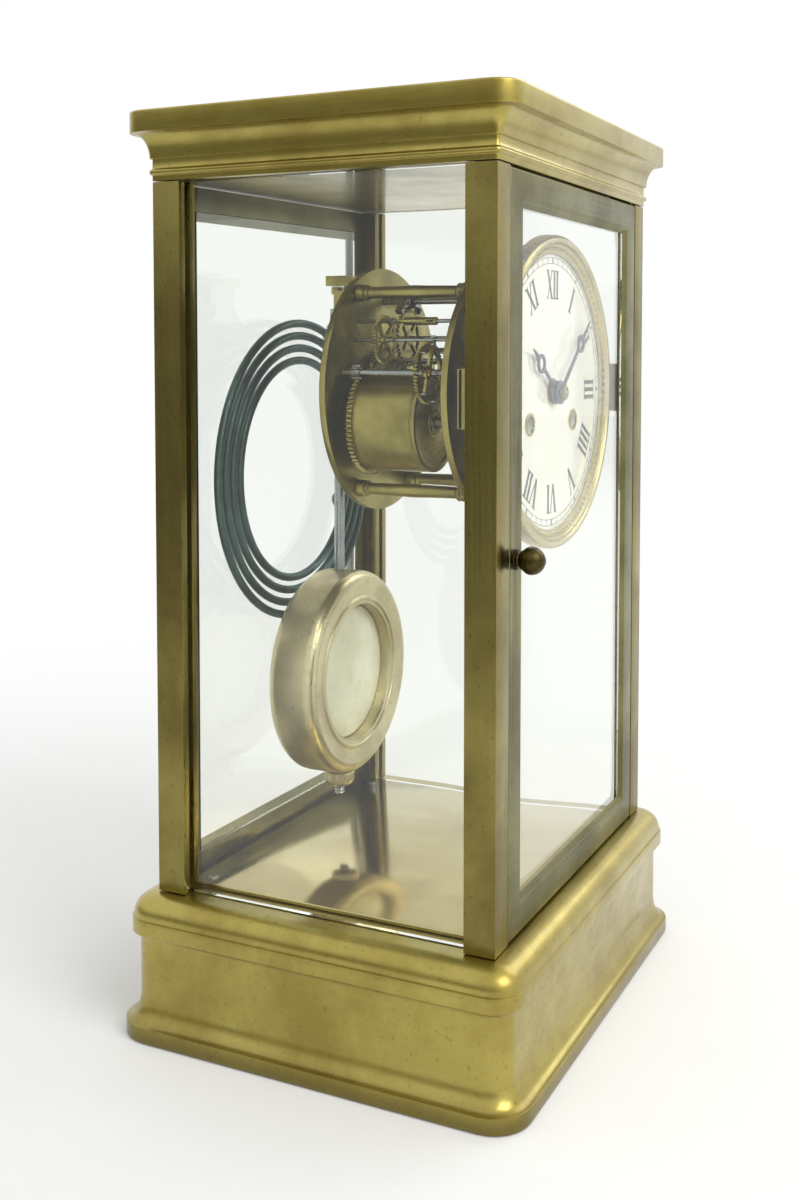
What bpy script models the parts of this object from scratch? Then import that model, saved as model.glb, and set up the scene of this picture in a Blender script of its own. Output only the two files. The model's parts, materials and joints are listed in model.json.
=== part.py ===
"""A crystal regulator: a four-glass mantel clock with a striking movement, pendulum and coiled gong.

Metres, +Z up. The origin is the centre of the base's underside, and the dial faces -Y.
Pieces that turn about a front-to-back axis have their origin on that axis and are modelled
with local +Z towards the front, so a local height is minus the world Y.
"""
import math

import bmesh
import bpy
from mathutils import Matrix, Vector

# Clearance between touching pieces, and how far a cutter overruns what it cuts
GAP = 0.0003
OVERRUN = 0.001
MERGE = 0.000001
FINE_GAP = 0.0001

# Case
CASE_WIDTH = 0.132
CASE_DEPTH = 0.107
CASE_HEIGHT = 0.270
BASE_HEIGHT = 0.042
CORNICE_HEIGHT = 0.0195
POST_SIDE = 0.009
CORNER_RADIUS = 0.0008
CORNER_STEPS = 3

# Base moulding: how far each member stands out from the posts' outline, and its height
FOOT_OUT = 0.0103
FOOT_HEIGHT = 0.0050
FOOT_CHAMFER = 0.0010
WAIST_OUT = 0.0058
WAIST_LOW = 0.0125
WAIST_HIGH = 0.0290
TORUS_OUT = 0.0082
TORUS_LOW = 0.0315
OVOLO_LOW = 0.0355
OVOLO_TOP_OUT = 0.0012
OVOLO_STEPS = 4
CAVITY_OUT = 0.0005
DECK_THICKNESS = 0.0080

# Cornice moulding, with heights measured down from the top
CROWN_OUT = 0.0068
CROWN_EDGE = 0.0006
CROWN_DEPTH = 0.0062
FILLET_STEP = 0.0010
COVE_DEPTH = 0.0070
COVE_FOOT_OUT = 0.0012
COVE_STEPS = 4
NECK_OUT = 0.0004

# Floor and side panes
FLOOR_THICKNESS = 0.0012
FLOOR_SWING_CLEARANCE = 0.0012
PANE_THICKNESS = 0.0030
PANE_BEVEL_WIDTH = 0.0080
PANE_BEVEL_DEPTH = 0.0012
PANE_GROOVE_DEPTH = 0.0022
PANE_INSET = 0.0030

# Doors
DOOR_THICKNESS = 0.0045
DOOR_RAIL = 0.0100
DOOR_LIP = 0.0030
DOOR_LIP_THICKNESS = 0.0014
DOOR_EDGE = 0.0005
DOOR_SIDE_CLEARANCE = 0.0004
DOOR_END_CLEARANCE = 0.0005
HINGE_INSET = 0.0028
HINGE_BACKSET = 0.0012
HINGE_PIN_RADIUS = 0.0007
HINGE_PIN_REACH = 0.0025

# Door knob and its latch tongue
KNOB_INSET = 0.0034
KNOB_RADIUS = 0.0038
KNOB_REACH = 0.0075
KNOB_NECK_RADIUS = 0.0016
KNOB_COLLAR_RADIUS = 0.0028
KNOB_COLLAR_THICKNESS = 0.0010
KNOB_SIDES = 12
STEM_RADIUS = 0.0011
TONGUE_LENGTH = 0.0066
TONGUE_WIDTH = 0.0034
TONGUE_THICKNESS = 0.0011
SLOT_CLEARANCE = 0.0006

# Screws that hold each post to the base
POST_SCREW_RADIUS = 0.0016
POST_SCREW_REACH = 0.0100
POST_SCREW_HEAD_RADIUS = 0.0034
POST_SCREW_HEAD_HEIGHT = 0.0026

# Movement: its centre's drop below the case's top, plates and pillars
MOVEMENT_DROP = 0.081
PLATE_RADIUS = 0.038
PLATE_THICKNESS = 0.0020
PLATE_SIDES = 36
FRONT_PLATE_Y = -0.027
BACK_PLATE_Y = 0.012
PILLAR_RADIUS = 0.0026
PILLAR_WAIST_RADIUS = 0.0019
PILLAR_RING = 0.0345
PILLAR_ANGLES = (60.0, 120.0, 240.0, 300.0)
PILLAR_COLLAR = 0.0030
PILLAR_TENON_RADIUS = 0.0014
NUT_RADIUS = 0.0026
NUT_HEIGHT = 0.0018
PIVOT_RADIUS = 0.0004
ARBOR_RADIUS = 0.0010
FINE_ARBOR_RADIUS = 0.00055
ROUND_SIDES = 6

# Dial and what carries it
DIAL_RADIUS = 0.0436
DIAL_THICKNESS = 0.0014
DIAL_FRONT_Y = -0.0432
DIAL_CENTRE_HOLE = 0.0036
WINDING_HOLE = 0.0029
DIAL_PLATE_RADIUS = 0.0450
DIAL_PLATE_THICKNESS = 0.0015
BEZEL_RADIUS = 0.0470
BEZEL_LIP = 0.0022
BEZEL_RISE = 0.0026
BEZEL_LIP_EDGE = 0.0007
BEZEL_ROUNDING = 0.0013
BEZEL_CREST = 0.0454
PLATE_BITE = 0.0005
DIAL_SIDES = 36
DIAL_PILLAR_RADIUS = 0.0020
DIAL_PILLAR_RING = 0.0354
DIAL_PILLAR_ANGLES = (45.0, 135.0, 225.0, 315.0)
EAR_HEIGHT = 0.0160
EAR_PAD = 0.0024

# Gear teeth: addendum and dedendum in modules, widths as shares of the tooth pitch
ADDENDUM_SHARE = 0.70
PINION_ADDENDUM_SHARE = 0.55
DEDENDUM_SHARE = 1.15
TIP_WIDTH_SHARE = 0.08
ROOT_WIDTH_SHARE = 0.20
RIM_SHARE = 0.83
HUB_SHARE = 0.26
SPOKE_SHARE = 0.11
ARC_STEPS = 2

# Barrels: great wheel, drum and mainspring, one each side of the centre
BARREL_X = 0.0175
BARREL_DROP = 0.0090
GREAT_TEETH = 64
GREAT_MODULE = 0.0005
GREAT_THICKNESS = 0.0016
DRUM_RADIUS = 0.0150
DRUM_WALL = 0.0009
DRUM_FRONT_Y = -0.0140
DRUM_BACK_Y = 0.0064
DRUM_SIDES = 20
SPRING_TURNS = 4
SPRING_THICKNESS = 0.0005
SPRING_STEPS = 10
WINDING_ARBOR_RADIUS = 0.0016
WINDING_SQUARE = 0.0030
WINDING_REACH_Y = -0.0425
RATCHET_TEETH = 20
RATCHET_RADIUS = 0.0056
RATCHET_ROOT = 0.0046
RATCHET_THICKNESS = 0.0011
CLICK_REACH = 0.0060
CLICK_RISE = 0.0046
CLICK_THICKNESS = 0.0011
CLICK_PIN_RADIUS = 0.0008
CLICK_HEAD_RADIUS = 0.0011
CLICK_WIDTH_RADIUS = 0.0016
CLICK_TAIL_RADIUS = 0.0026

# Going train: teeth, modules and layers
PINION_THICKNESS = 0.0026
WHEEL_THICKNESS = 0.0010
LOW_LEAVES = 6
BARREL_PINION_LEAVES = 8
INTERMEDIATE_TEETH = 60
INTERMEDIATE_MODULE = 0.00046
CENTRE_LEAVES = 10
CENTRE_TEETH = 72
CENTRE_MODULE = 0.00036
THIRD_TEETH = 72
THIRD_MODULE = 0.00032
INTERMEDIATE_WHEEL_Y = -0.0235
CENTRE_WHEEL_Y = 0.0096
THIRD_WHEEL_Y = -0.0205
WHEEL_WINDOWS = 4

# Escapement: the anchor spans a whole number of teeth and a half
ESCAPE_TEETH = 36
ESCAPE_RADIUS = 0.0090
ESCAPE_ROOT = 0.0076
ESCAPE_LEAN_SHARE = 0.18
ESCAPE_HUB_SHARE = 0.31
ESCAPE_WHEEL_Y = 0.0030
ANCHOR_SPAN_TEETH = 7.5
ANCHOR_THICKNESS = 0.0022
ANCHOR_HEIGHT = 0.0275
ANCHOR_ARM = 0.0022
ANCHOR_HUB_RADIUS = 0.0024
NIB_WIDTH = 0.00030
NIB_LIFT = 0.00030
NIB_LENGTH = 0.0018
NIB_OUTER = 0.0008
NIB_INNER = 0.0006
ANCHOR_SHOULDER_U = 0.0048
ANCHOR_SHOULDER_V = -0.0002

# Striking train
STRIKE_MODULE = 0.00038
PIN_WHEEL_TEETH = 48
PIN_WHEEL_U = -0.0275
PIN_WHEEL_V = 0.0060
PIN_WHEEL_Y = -0.0168
PIN_COUNT = 8
PIN_RADIUS = 0.0004
PIN_LENGTH = 0.0020
LOCKING_TEETH = 42
LOCKING_MODULE = 0.00034
LOCKING_HEADING = 70.0
LOCKING_WHEEL_Y = -0.0010
FLY_HEADING = 43.0
FLY_SPAN = 0.0062
FLY_LENGTH = 0.0095
FLY_THICKNESS = 0.0006
FLY_FRONT_Y = -0.0140

# Motion work under the dial, and the hands
CANNON_LEAVES = 12
MINUTE_TEETH = 36
MINUTE_MODULE = 0.00045
MINUTE_LEAVES = 10
HOUR_TEETH = 40
MINUTE_WHEEL_Y = -0.0300
HOUR_WHEEL_Y = -0.0330
MOTION_THICKNESS = 0.0010
MOTION_PINION_THICKNESS = 0.0018
CENTRE_FRONT_Y = -0.0476
CANNON_RADIUS = 0.0015
CANNON_BORE = 0.0011
CANNON_FRONT_Y = -0.0463
HOUR_PIPE_RADIUS = 0.0025
HOUR_PIPE_BORE = 0.0018
HOUR_PIPE_FRONT_Y = -0.0451
HAND_THICKNESS = 0.0006
HOUR_HAND_Y = -0.0448
MINUTE_HAND_Y = -0.0460
HOUR_HAND_LENGTH = 0.0230
MINUTE_HAND_LENGTH = 0.0345
HAND_HUB_RADIUS = 0.0036
HAND_NUT_RADIUS = 0.0022
HAND_NUT_THICKNESS = 0.0008
HAND_TAIL_WIDTH = 0.0012
HAND_EYE_RADIUS = 0.0030
HAND_EYE_HOLE = 0.0018
HAND_EYE_SHARE = 0.66
HOUR_HAND_ANGLE = 305.0
MINUTE_HAND_ANGLE = 50.0

# Back cock, suspension and crutch
PENDULUM_Y = 0.0280
COCK_HALF_WIDTH = 0.0130
COCK_FOOT = 0.0050
COCK_SHEET = 0.0016
COCK_REACH = 0.0105
COCK_HALF_HEIGHT = 0.0036
LUG_HALF_WIDTH = 0.0032
LUG_LOW = 0.0053
LUG_HEIGHT = 0.0032
LUG_REACH = 0.0030
CHOP_HALF_WIDTH = 0.0028
CHOP_THICKNESS = 0.0024
CHOP_HEIGHT = 0.0024
BLADE_LENGTH = 0.0070
BLADE_HALF_WIDTH = 0.0018
BLADE_THICKNESS = 0.0003
HOOK_HEIGHT = 0.0042
HOOK_SLOT = 0.0015
ROD_BITE = 0.0008
HOOK_SLOT_DEPTH = 0.0028
CRUTCH_Y = 0.0178
CRUTCH_DROP = 0.0260
CRUTCH_WIDTH = 0.0020
CRUTCH_THICKNESS = 0.0012
CRUTCH_HUB_RADIUS = 0.0026
PRONG_WIDTH = 0.0012
PRONG_REACH = 0.0026
CRUTCH_PLAY = 0.0004

# Pendulum
BOB_HEIGHT = 0.0975
BOB_RADIUS = 0.0325
BOB_THICKNESS = 0.0160
BOB_ROUNDING = 0.0034
BOB_EYE_RADIUS = 0.0215
BOB_SIDES = 32
BOB_FACE_CROWN = 0.0030
BOB_FACE_SHOULDER = 0.0022
BOB_FACE_EDGE = 0.0080
ROD_RADIUS = 0.0016
ROD_TIP = 0.0085
RATING_NUT_RADIUS = 0.0048
RATING_NUT_HEIGHT = 0.0045

# Gong and hammer
GONG_Y = 0.0430
GONG_DROP = 0.0275
GONG_RADIUS = 0.0488
GONG_INNER_RADIUS = 0.0328
GONG_WIRE_RADIUS = 0.0013
GONG_TURNS = 4
GONG_TURN_STEPS = 24
GONG_END_ANGLE = 60.0
GONG_BLOCK = 0.0060
GONG_BLOCK_INWARD = 0.0016
GONG_BLOCK_OUTWARD = 0.0056
GONG_POST_RADIUS = 0.0024
HAMMER_U = 0.0300
HAMMER_V = 0.0120
HAMMER_ANGLE = 40.0
HAMMER_ARM_Y = 0.0370
HAMMER_HEAD_RADIUS = 0.0032
HAMMER_HEAD_LENGTH = 0.0100
HAMMER_GAP = 0.0008
HAMMER_ARM_RADIUS = 0.0009
HAMMER_HUB_RADIUS = 0.0022

# Heights and half sizes worked out from the sizes above
POST_TOP = CASE_HEIGHT - CORNICE_HEIGHT
MOVEMENT_HEIGHT = CASE_HEIGHT - MOVEMENT_DROP
GONG_HEIGHT = MOVEMENT_HEIGHT - GONG_DROP
HALF_WIDTH = CASE_WIDTH / 2
HALF_DEPTH = CASE_DEPTH / 2
POST_X = HALF_WIDTH - POST_SIDE / 2
POST_Y = HALF_DEPTH - POST_SIDE / 2
DOOR_HALF_WIDTH = HALF_WIDTH - POST_SIDE - DOOR_SIDE_CLEARANCE
DOOR_LOW = BASE_HEIGHT + DOOR_END_CLEARANCE
DOOR_HIGH = POST_TOP - DOOR_END_CLEARANCE
DOOR_MIDDLE = (DOOR_LOW + DOOR_HIGH) / 2
HINGE_X = HALF_WIDTH - POST_SIDE - HINGE_INSET
HINGE_Y = HALF_DEPTH - HINGE_BACKSET
KNOB_X = HALF_WIDTH - POST_SIDE - KNOB_INSET
FRONT_PLATE_BACK = FRONT_PLATE_Y + PLATE_THICKNESS
BACK_PLATE_BACK = BACK_PLATE_Y + PLATE_THICKNESS
DIAL_PLATE_FRONT = DIAL_FRONT_Y + DIAL_THICKNESS + GAP
DIAL_PLATE_BACK = DIAL_PLATE_FRONT + DIAL_PLATE_THICKNESS
BARREL_DISTANCE = GREAT_MODULE * (GREAT_TEETH + BARREL_PINION_LEAVES) / 2
FLEX_HEIGHT = MOVEMENT_HEIGHT + ANCHOR_HEIGHT
FRONTWARD = (math.pi / 2, 0, 0)

# Colours (linear red, green, blue), metallic and roughness
FINISHES = {
    "brass": ((0.52, 0.36, 0.12), 1.0, 0.30),
    "polished_brass": ((0.62, 0.48, 0.22), 1.0, 0.12),
    "steel": ((0.42, 0.43, 0.44), 1.0, 0.32),
    "blued_steel": ((0.05, 0.08, 0.09), 1.0, 0.34),
    "enamel": ((0.84, 0.82, 0.74), 0.0, 0.20),
    "glass": ((0.90, 0.95, 0.92), 0.0, 0.05),
    "silvered": ((0.75, 0.73, 0.62), 1.0, 0.28),
}


def clear_scene():
    """Remove every object and leave the part's collection and the cutters' collection."""
    for obj in list(bpy.data.objects):
        bpy.data.objects.remove(obj)
    made = {}
    for name in ("crystal_regulator", "cutters"):
        made[name] = bpy.data.collections.new(name)
        bpy.context.scene.collection.children.link(made[name])
    return made


COLLECTIONS = clear_scene()
MATERIALS = {}


def material(name):
    """The Principled material of that finish, made once."""
    if name not in MATERIALS:
        colour, metallic, roughness = FINISHES[name]
        made = bpy.data.materials.new(name)
        made.use_nodes = True
        shader = made.node_tree.nodes["Principled BSDF"]
        shader.inputs["Base Color"].default_value = (*colour, 1.0)
        shader.inputs["Metallic"].default_value = metallic
        shader.inputs["Roughness"].default_value = roughness
        MATERIALS[name] = made
    return MATERIALS[name]


def blank(mesh, place=(0, 0, 0), turn=(0, 0, 0)):
    """A working object for this mesh, in the cutters' collection and hidden from renders."""
    obj = bpy.data.objects.new("work", mesh)
    obj.location = place
    obj.rotation_euler = turn
    obj.hide_render = True
    obj.display_type = "WIRE"
    COLLECTIONS["cutters"].objects.link(obj)
    return obj


def settled_mesh(obj):
    """The object's evaluated mesh in its own space, with coincident points merged."""
    bpy.context.view_layer.update()
    evaluated = obj.evaluated_get(bpy.context.evaluated_depsgraph_get())
    mesh = bpy.data.meshes.new_from_object(evaluated)
    bm = bmesh.new()
    bm.from_mesh(mesh)
    bmesh.ops.remove_doubles(bm, verts=bm.verts, dist=MERGE)
    bm.to_mesh(mesh)
    bm.free()
    return mesh


def combined(first, others, operation):
    """first after a Boolean with each of the others, which are then removed."""
    for other in others:
        step = first.modifiers.new("combine", "BOOLEAN")
        step.operation = operation
        step.object = other
    mesh = settled_mesh(first)
    first.modifiers.clear()
    first.data = mesh
    for other in others:
        bpy.data.objects.remove(other)
    return first


def united(pieces):
    """All the pieces as one solid."""
    return combined(pieces[0], pieces[1:], "UNION")


def cut(piece, cutters):
    """The piece with each cutter's space taken out."""
    return combined(piece, cutters, "DIFFERENCE")


def finished(piece, name, finish, smooth_degrees=40.0):
    """Name a working object and move it into the part's collection with its material."""
    piece.name = name
    piece.data.name = name
    piece.data.materials.clear()
    piece.data.materials.append(material(finish))
    piece.data.shade_smooth()
    piece.data.set_sharp_from_angle(angle=math.radians(smooth_degrees))
    piece.hide_render = False
    piece.display_type = "SOLID"
    COLLECTIONS["cutters"].objects.unlink(piece)
    COLLECTIONS["crystal_regulator"].objects.link(piece)
    return piece


def polar(radius, degrees):
    """A point at this radius and heading, as seen from the front with 0 to the right."""
    heading = math.radians(degrees)
    return radius * math.cos(heading), radius * math.sin(heading)


def heading_of(u, v):
    """The heading in degrees of the point u, v."""
    return math.degrees(math.atan2(v, u))


def box(low, high):
    """A block between two corners."""
    bm = bmesh.new()
    bmesh.ops.create_cube(bm, size=1)
    size = [b - a for a, b in zip(low, high)]
    middle = [(a + b) / 2 for a, b in zip(low, high)]
    bmesh.ops.scale(bm, vec=size, verts=bm.verts)
    bmesh.ops.translate(bm, vec=middle, verts=bm.verts)
    mesh = bpy.data.meshes.new("box")
    bm.to_mesh(mesh)
    bm.free()
    return blank(mesh)


def cylinder(radius, start, end, sides=ROUND_SIDES, end_radius=None):
    """A round bar, or a tapered one, between two points."""
    start, end = Vector(start), Vector(end)
    along = end - start
    bm = bmesh.new()
    bmesh.ops.create_cone(
        bm, cap_ends=True, segments=sides, depth=along.length,
        radius1=radius, radius2=radius if end_radius is None else end_radius,
    )
    turn = along.to_track_quat("Z", "Y").to_matrix().to_4x4()
    bmesh.ops.transform(
        bm, matrix=Matrix.Translation((start + end) / 2) @ turn, verts=bm.verts
    )
    mesh = bpy.data.meshes.new("cylinder")
    bm.to_mesh(mesh)
    bm.free()
    return blank(mesh)


def axial(radius, y_front, y_back, u=0, v=0, sides=ROUND_SIDES, end_radius=None):
    """A round bar along the front-to-back axis of a piece in its own space."""
    return cylinder(radius, (u, v, -y_back), (u, v, -y_front), sides, end_radius)


def prism(outlines, low, high):
    """Flat outlines, the first solid and the rest holes in it, drawn out from low to high."""
    curve = bpy.data.curves.new("outline", "CURVE")
    curve.dimensions = "2D"
    curve.fill_mode = "BOTH"
    curve.extrude = (high - low) / 2
    for outline in outlines:
        spline = curve.splines.new("POLY")
        spline.points.add(len(outline) - 1)
        for point, (u, v) in zip(spline.points, outline):
            point.co = (u, v, 0, 1)
        spline.use_cyclic_u = True
    drawn = blank(curve)
    mesh = settled_mesh(drawn)
    bpy.data.objects.remove(drawn)
    mesh.transform(Matrix.Translation((0, 0, (low + high) / 2)))
    return blank(mesh)


def slab(outlines, y_front, y_back):
    """A prism between two depths, in the space of a front-to-back piece."""
    return prism(outlines, -y_back, -y_front)


def turned(profile, sides, cyclic=False):
    """A solid of revolution about Z from a profile that runs down its outer side."""
    mesh = bpy.data.meshes.new("profile")
    edges = [(i, i + 1) for i in range(len(profile) - 1)]
    if cyclic:
        edges.append((len(profile) - 1, 0))
    mesh.from_pydata([(r, 0, h) for r, h in profile], edges, [])
    shape = blank(mesh)
    screw = shape.modifiers.new("turn", "SCREW")
    screw.steps = sides
    screw.render_steps = sides
    screw.use_merge_vertices = True
    screw.merge_threshold = MERGE
    screw.use_normal_calculate = True
    shape.data = settled_mesh(shape)
    shape.modifiers.clear()
    bm = bmesh.new()
    bm.from_mesh(shape.data)
    bmesh.ops.recalc_face_normals(bm, faces=bm.faces)
    bm.to_mesh(shape.data)
    bm.free()
    return shape


def rounded_rectangle(half_x, half_y, radius):
    """Points of a rectangle with round corners, the same number whatever its size."""
    points = []
    for quarter, (sx, sy) in enumerate(((1, 1), (-1, 1), (-1, -1), (1, -1))):
        for step in range(CORNER_STEPS + 1):
            du, dv = polar(radius, 90.0 * (quarter + step / CORNER_STEPS))
            points.append((sx * (half_x - radius) + du, sy * (half_y - radius) + dv))
    return points


def rectangle(half_x, half_y):
    """The four corners of a rectangle."""
    return [(half_x, half_y), (-half_x, half_y), (-half_x, -half_y), (half_x, -half_y)]


def lofted(sections, ring=False):
    """A solid through sections of matching points, each an outline with its height.

    An open loft is capped at both ends. A ring's last section joins its first.
    """
    bm = bmesh.new()
    loops = [[bm.verts.new((u, v, h)) for u, v in outline] for outline, h in sections]
    count = len(loops[0])
    pairs = list(zip(loops, loops[1:]))
    if ring:
        pairs.append((loops[-1], loops[0]))
    for lower, upper in pairs:
        for i in range(count):
            j = (i + 1) % count
            bm.faces.new((lower[i], lower[j], upper[j], upper[i]))
    if not ring:
        bm.faces.new(loops[0])
        bm.faces.new(loops[-1])
    bmesh.ops.recalc_face_normals(bm, faces=bm.faces)
    mesh = bpy.data.meshes.new("loft")
    bm.to_mesh(mesh)
    bm.free()
    return blank(mesh)


def moulding(profile):
    """The case's outline swept through a moulding of (outset, height) members."""
    return lofted([
        (rounded_rectangle(HALF_WIDTH + out, HALF_DEPTH + out, CORNER_RADIUS + max(out, 0)), height)
        for out, height in profile
    ])


# Case

def base_moulding():
    """Hollow cast base: foot, waist, torus and ovolo, with a deck that carries the posts."""
    ceiling = BASE_HEIGHT - DECK_THICKNESS
    profile = [
        (CAVITY_OUT, ceiling), (CAVITY_OUT, 0),
        (FOOT_OUT - FOOT_CHAMFER, 0), (FOOT_OUT, FOOT_CHAMFER), (FOOT_OUT, FOOT_HEIGHT),
    ]
    for step in range(1, COVE_STEPS + 1):
        swing = math.radians(90.0 * step / COVE_STEPS)
        profile.append((
            WAIST_OUT + (FOOT_OUT - WAIST_OUT) * (1 - math.sin(swing)),
            FOOT_HEIGHT + (WAIST_LOW - FOOT_HEIGHT) * (1 - math.cos(swing)),
        ))
    profile += [(WAIST_OUT, WAIST_HIGH), (TORUS_OUT, TORUS_LOW), (TORUS_OUT, OVOLO_LOW)]
    for step in range(1, OVOLO_STEPS + 1):
        swing = math.radians(90.0 * step / OVOLO_STEPS)
        profile.append((
            OVOLO_TOP_OUT + (TORUS_OUT - OVOLO_TOP_OUT) * math.cos(swing),
            OVOLO_LOW + (BASE_HEIGHT - OVOLO_LOW) * math.sin(swing),
        ))
    shell = moulding(profile)
    cutters = [hinge_hole(BASE_HEIGHT, side) for side in (1, -1)]
    for x, y in post_centres().values():
        cutters.append(cylinder(
            POST_SCREW_RADIUS + GAP, (x, y, ceiling - OVERRUN), (x, y, BASE_HEIGHT + OVERRUN)
        ))
    finished(cut(shell, cutters), "base_moulding", "brass")


def cornice():
    """Crown moulding: a square fascia over a cove, closed by its flat top."""
    fillet = POST_TOP + CORNICE_HEIGHT - CROWN_DEPTH
    cove_foot = fillet - COVE_DEPTH
    profile = [(NECK_OUT, POST_TOP), (NECK_OUT, cove_foot), (COVE_FOOT_OUT, cove_foot)]
    for step in range(1, COVE_STEPS + 1):
        swing = math.radians(90.0 * step / COVE_STEPS)
        profile.append((
            COVE_FOOT_OUT + (CROWN_OUT - FILLET_STEP - COVE_FOOT_OUT) * (1 - math.cos(swing)),
            cove_foot + COVE_DEPTH * math.sin(swing),
        ))
    profile += [
        (CROWN_OUT, fillet), (CROWN_OUT, CASE_HEIGHT - CROWN_EDGE),
        (CROWN_OUT - CROWN_EDGE, CASE_HEIGHT),
    ]
    crown = moulding(profile)
    finished(cut(crown, [hinge_hole(POST_TOP, side) for side in (1, -1)]), "cornice", "brass")


def hinge_hole(height, side):
    """A cutter for a door's hinge pin, through the face at this height."""
    depth = HINGE_PIN_REACH + GAP
    return cylinder(
        HINGE_PIN_RADIUS + GAP,
        (side * HINGE_X, -side * HINGE_Y, height - depth),
        (side * HINGE_X, -side * HINGE_Y, height + depth),
    )


def post_centres():
    """The middle of each post in plan."""
    return {
        "front_left": (-POST_X, -POST_Y), "front_right": (POST_X, -POST_Y),
        "back_left": (-POST_X, POST_Y), "back_right": (POST_X, POST_Y),
    }


def posts():
    """Square posts, grooved for the side panes, slotted for the latches and tapped below."""
    half = POST_SIDE / 2
    groove_side = PANE_THICKNESS + 2 * GAP
    for name, (x, y) in post_centres().items():
        sx = math.copysign(1, x)
        sy = math.copysign(1, y)
        outer = sx * (HALF_WIDTH - PANE_INSET + GAP)
        inner = outer - sx * groove_side
        inward = y - sy * half
        outline = [
            (x + sx * half, y + sy * half), (x - sx * half, y + sy * half), (x - sx * half, inward),
            (inner, inward), (inner, inward + sy * PANE_GROOVE_DEPTH),
            (outer, inward + sy * PANE_GROOVE_DEPTH), (outer, inward), (x + sx * half, inward),
        ]
        bar = prism([outline], BASE_HEIGHT + GAP, POST_TOP - GAP)
        cutters = [cylinder(
            POST_SCREW_RADIUS + GAP, (x, y, BASE_HEIGHT - OVERRUN),
            (x, y, BASE_HEIGHT + POST_SCREW_REACH + GAP),
        )]
        if sx == sy:
            cutters.append(latch_slot(sy))
        finished(cut(bar, cutters), "post_" + name, "brass")


def latch_slot(side):
    """The pocket in a post that a latch tongue swings down into."""
    face = HALF_WIDTH - POST_SIDE
    back = HALF_DEPTH - DOOR_THICKNESS
    half = TONGUE_WIDTH / 2
    corner = math.hypot(TONGUE_LENGTH, half)
    xs = sorted((side * (face - OVERRUN), side * (face + corner - KNOB_INSET + SLOT_CLEARANCE)))
    ys = sorted((
        side * (back - GAP - TONGUE_THICKNESS - SLOT_CLEARANCE), side * (back - GAP + SLOT_CLEARANCE)
    ))
    low = DOOR_MIDDLE - half - SLOT_CLEARANCE
    high = DOOR_MIDDLE + math.sqrt(corner**2 - KNOB_INSET**2) + SLOT_CLEARANCE
    return box((xs[0], ys[0], low), (xs[1], ys[1], high))


def post_screws():
    """A long screw up through the deck into each post."""
    seat = BASE_HEIGHT - DECK_THICKNESS - GAP
    for name, (x, y) in post_centres().items():
        shank = cylinder(
            POST_SCREW_RADIUS, (0, 0, -POST_SCREW_HEAD_HEIGHT / 2),
            (0, 0, DECK_THICKNESS + POST_SCREW_REACH),
        )
        head = cylinder(POST_SCREW_HEAD_RADIUS, (0, 0, -POST_SCREW_HEAD_HEIGHT), (0, 0, 0), sides=6)
        screw = united([head, shank])
        screw.location = (x, y, seat)
        finished(screw, "post_screw_" + name, "steel")


def floor_plate():
    """Polished plate that lines the case's floor, clear of the doors' swinging stiles."""
    half_x = HALF_WIDTH - POST_SIDE - GAP
    half_y = HALF_DEPTH - DOOR_THICKNESS - FLOOR_SWING_CLEARANCE
    low = BASE_HEIGHT + GAP
    plate = box((-half_x, -half_y, low), (half_x, half_y, low + FLOOR_THICKNESS))
    finished(plate, "floor_plate", "polished_brass")


def bevelled_pane(half_x, half_y):
    """A plate-glass pane lying flat, bevelled all round its upper face."""
    middle_x = half_x - PANE_BEVEL_WIDTH
    middle_y = half_y - PANE_BEVEL_WIDTH
    return lofted([
        (rectangle(half_x, half_y), 0),
        (rectangle(half_x, half_y), PANE_THICKNESS - PANE_BEVEL_DEPTH),
        (rectangle(middle_x, middle_y), PANE_THICKNESS),
    ])


def side_panes():
    """Bevelled side panes, held in the posts' grooves with the bevel outside."""
    half_y = HALF_DEPTH - POST_SIDE + PANE_GROOVE_DEPTH - GAP
    half_z = (POST_TOP - BASE_HEIGHT) / 2 - GAP
    for name, side in (("side_glass_left", -1), ("side_glass_right", 1)):
        pane = bevelled_pane(half_y, half_z)
        outer = HALF_WIDTH - PANE_INSET
        pane.location = (side * (outer - PANE_THICKNESS), 0, (POST_TOP + BASE_HEIGHT) / 2)
        pane.rotation_euler = (math.pi / 2, 0, side * math.pi / 2)
        finished(pane, name, "glass")


# Doors

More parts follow.
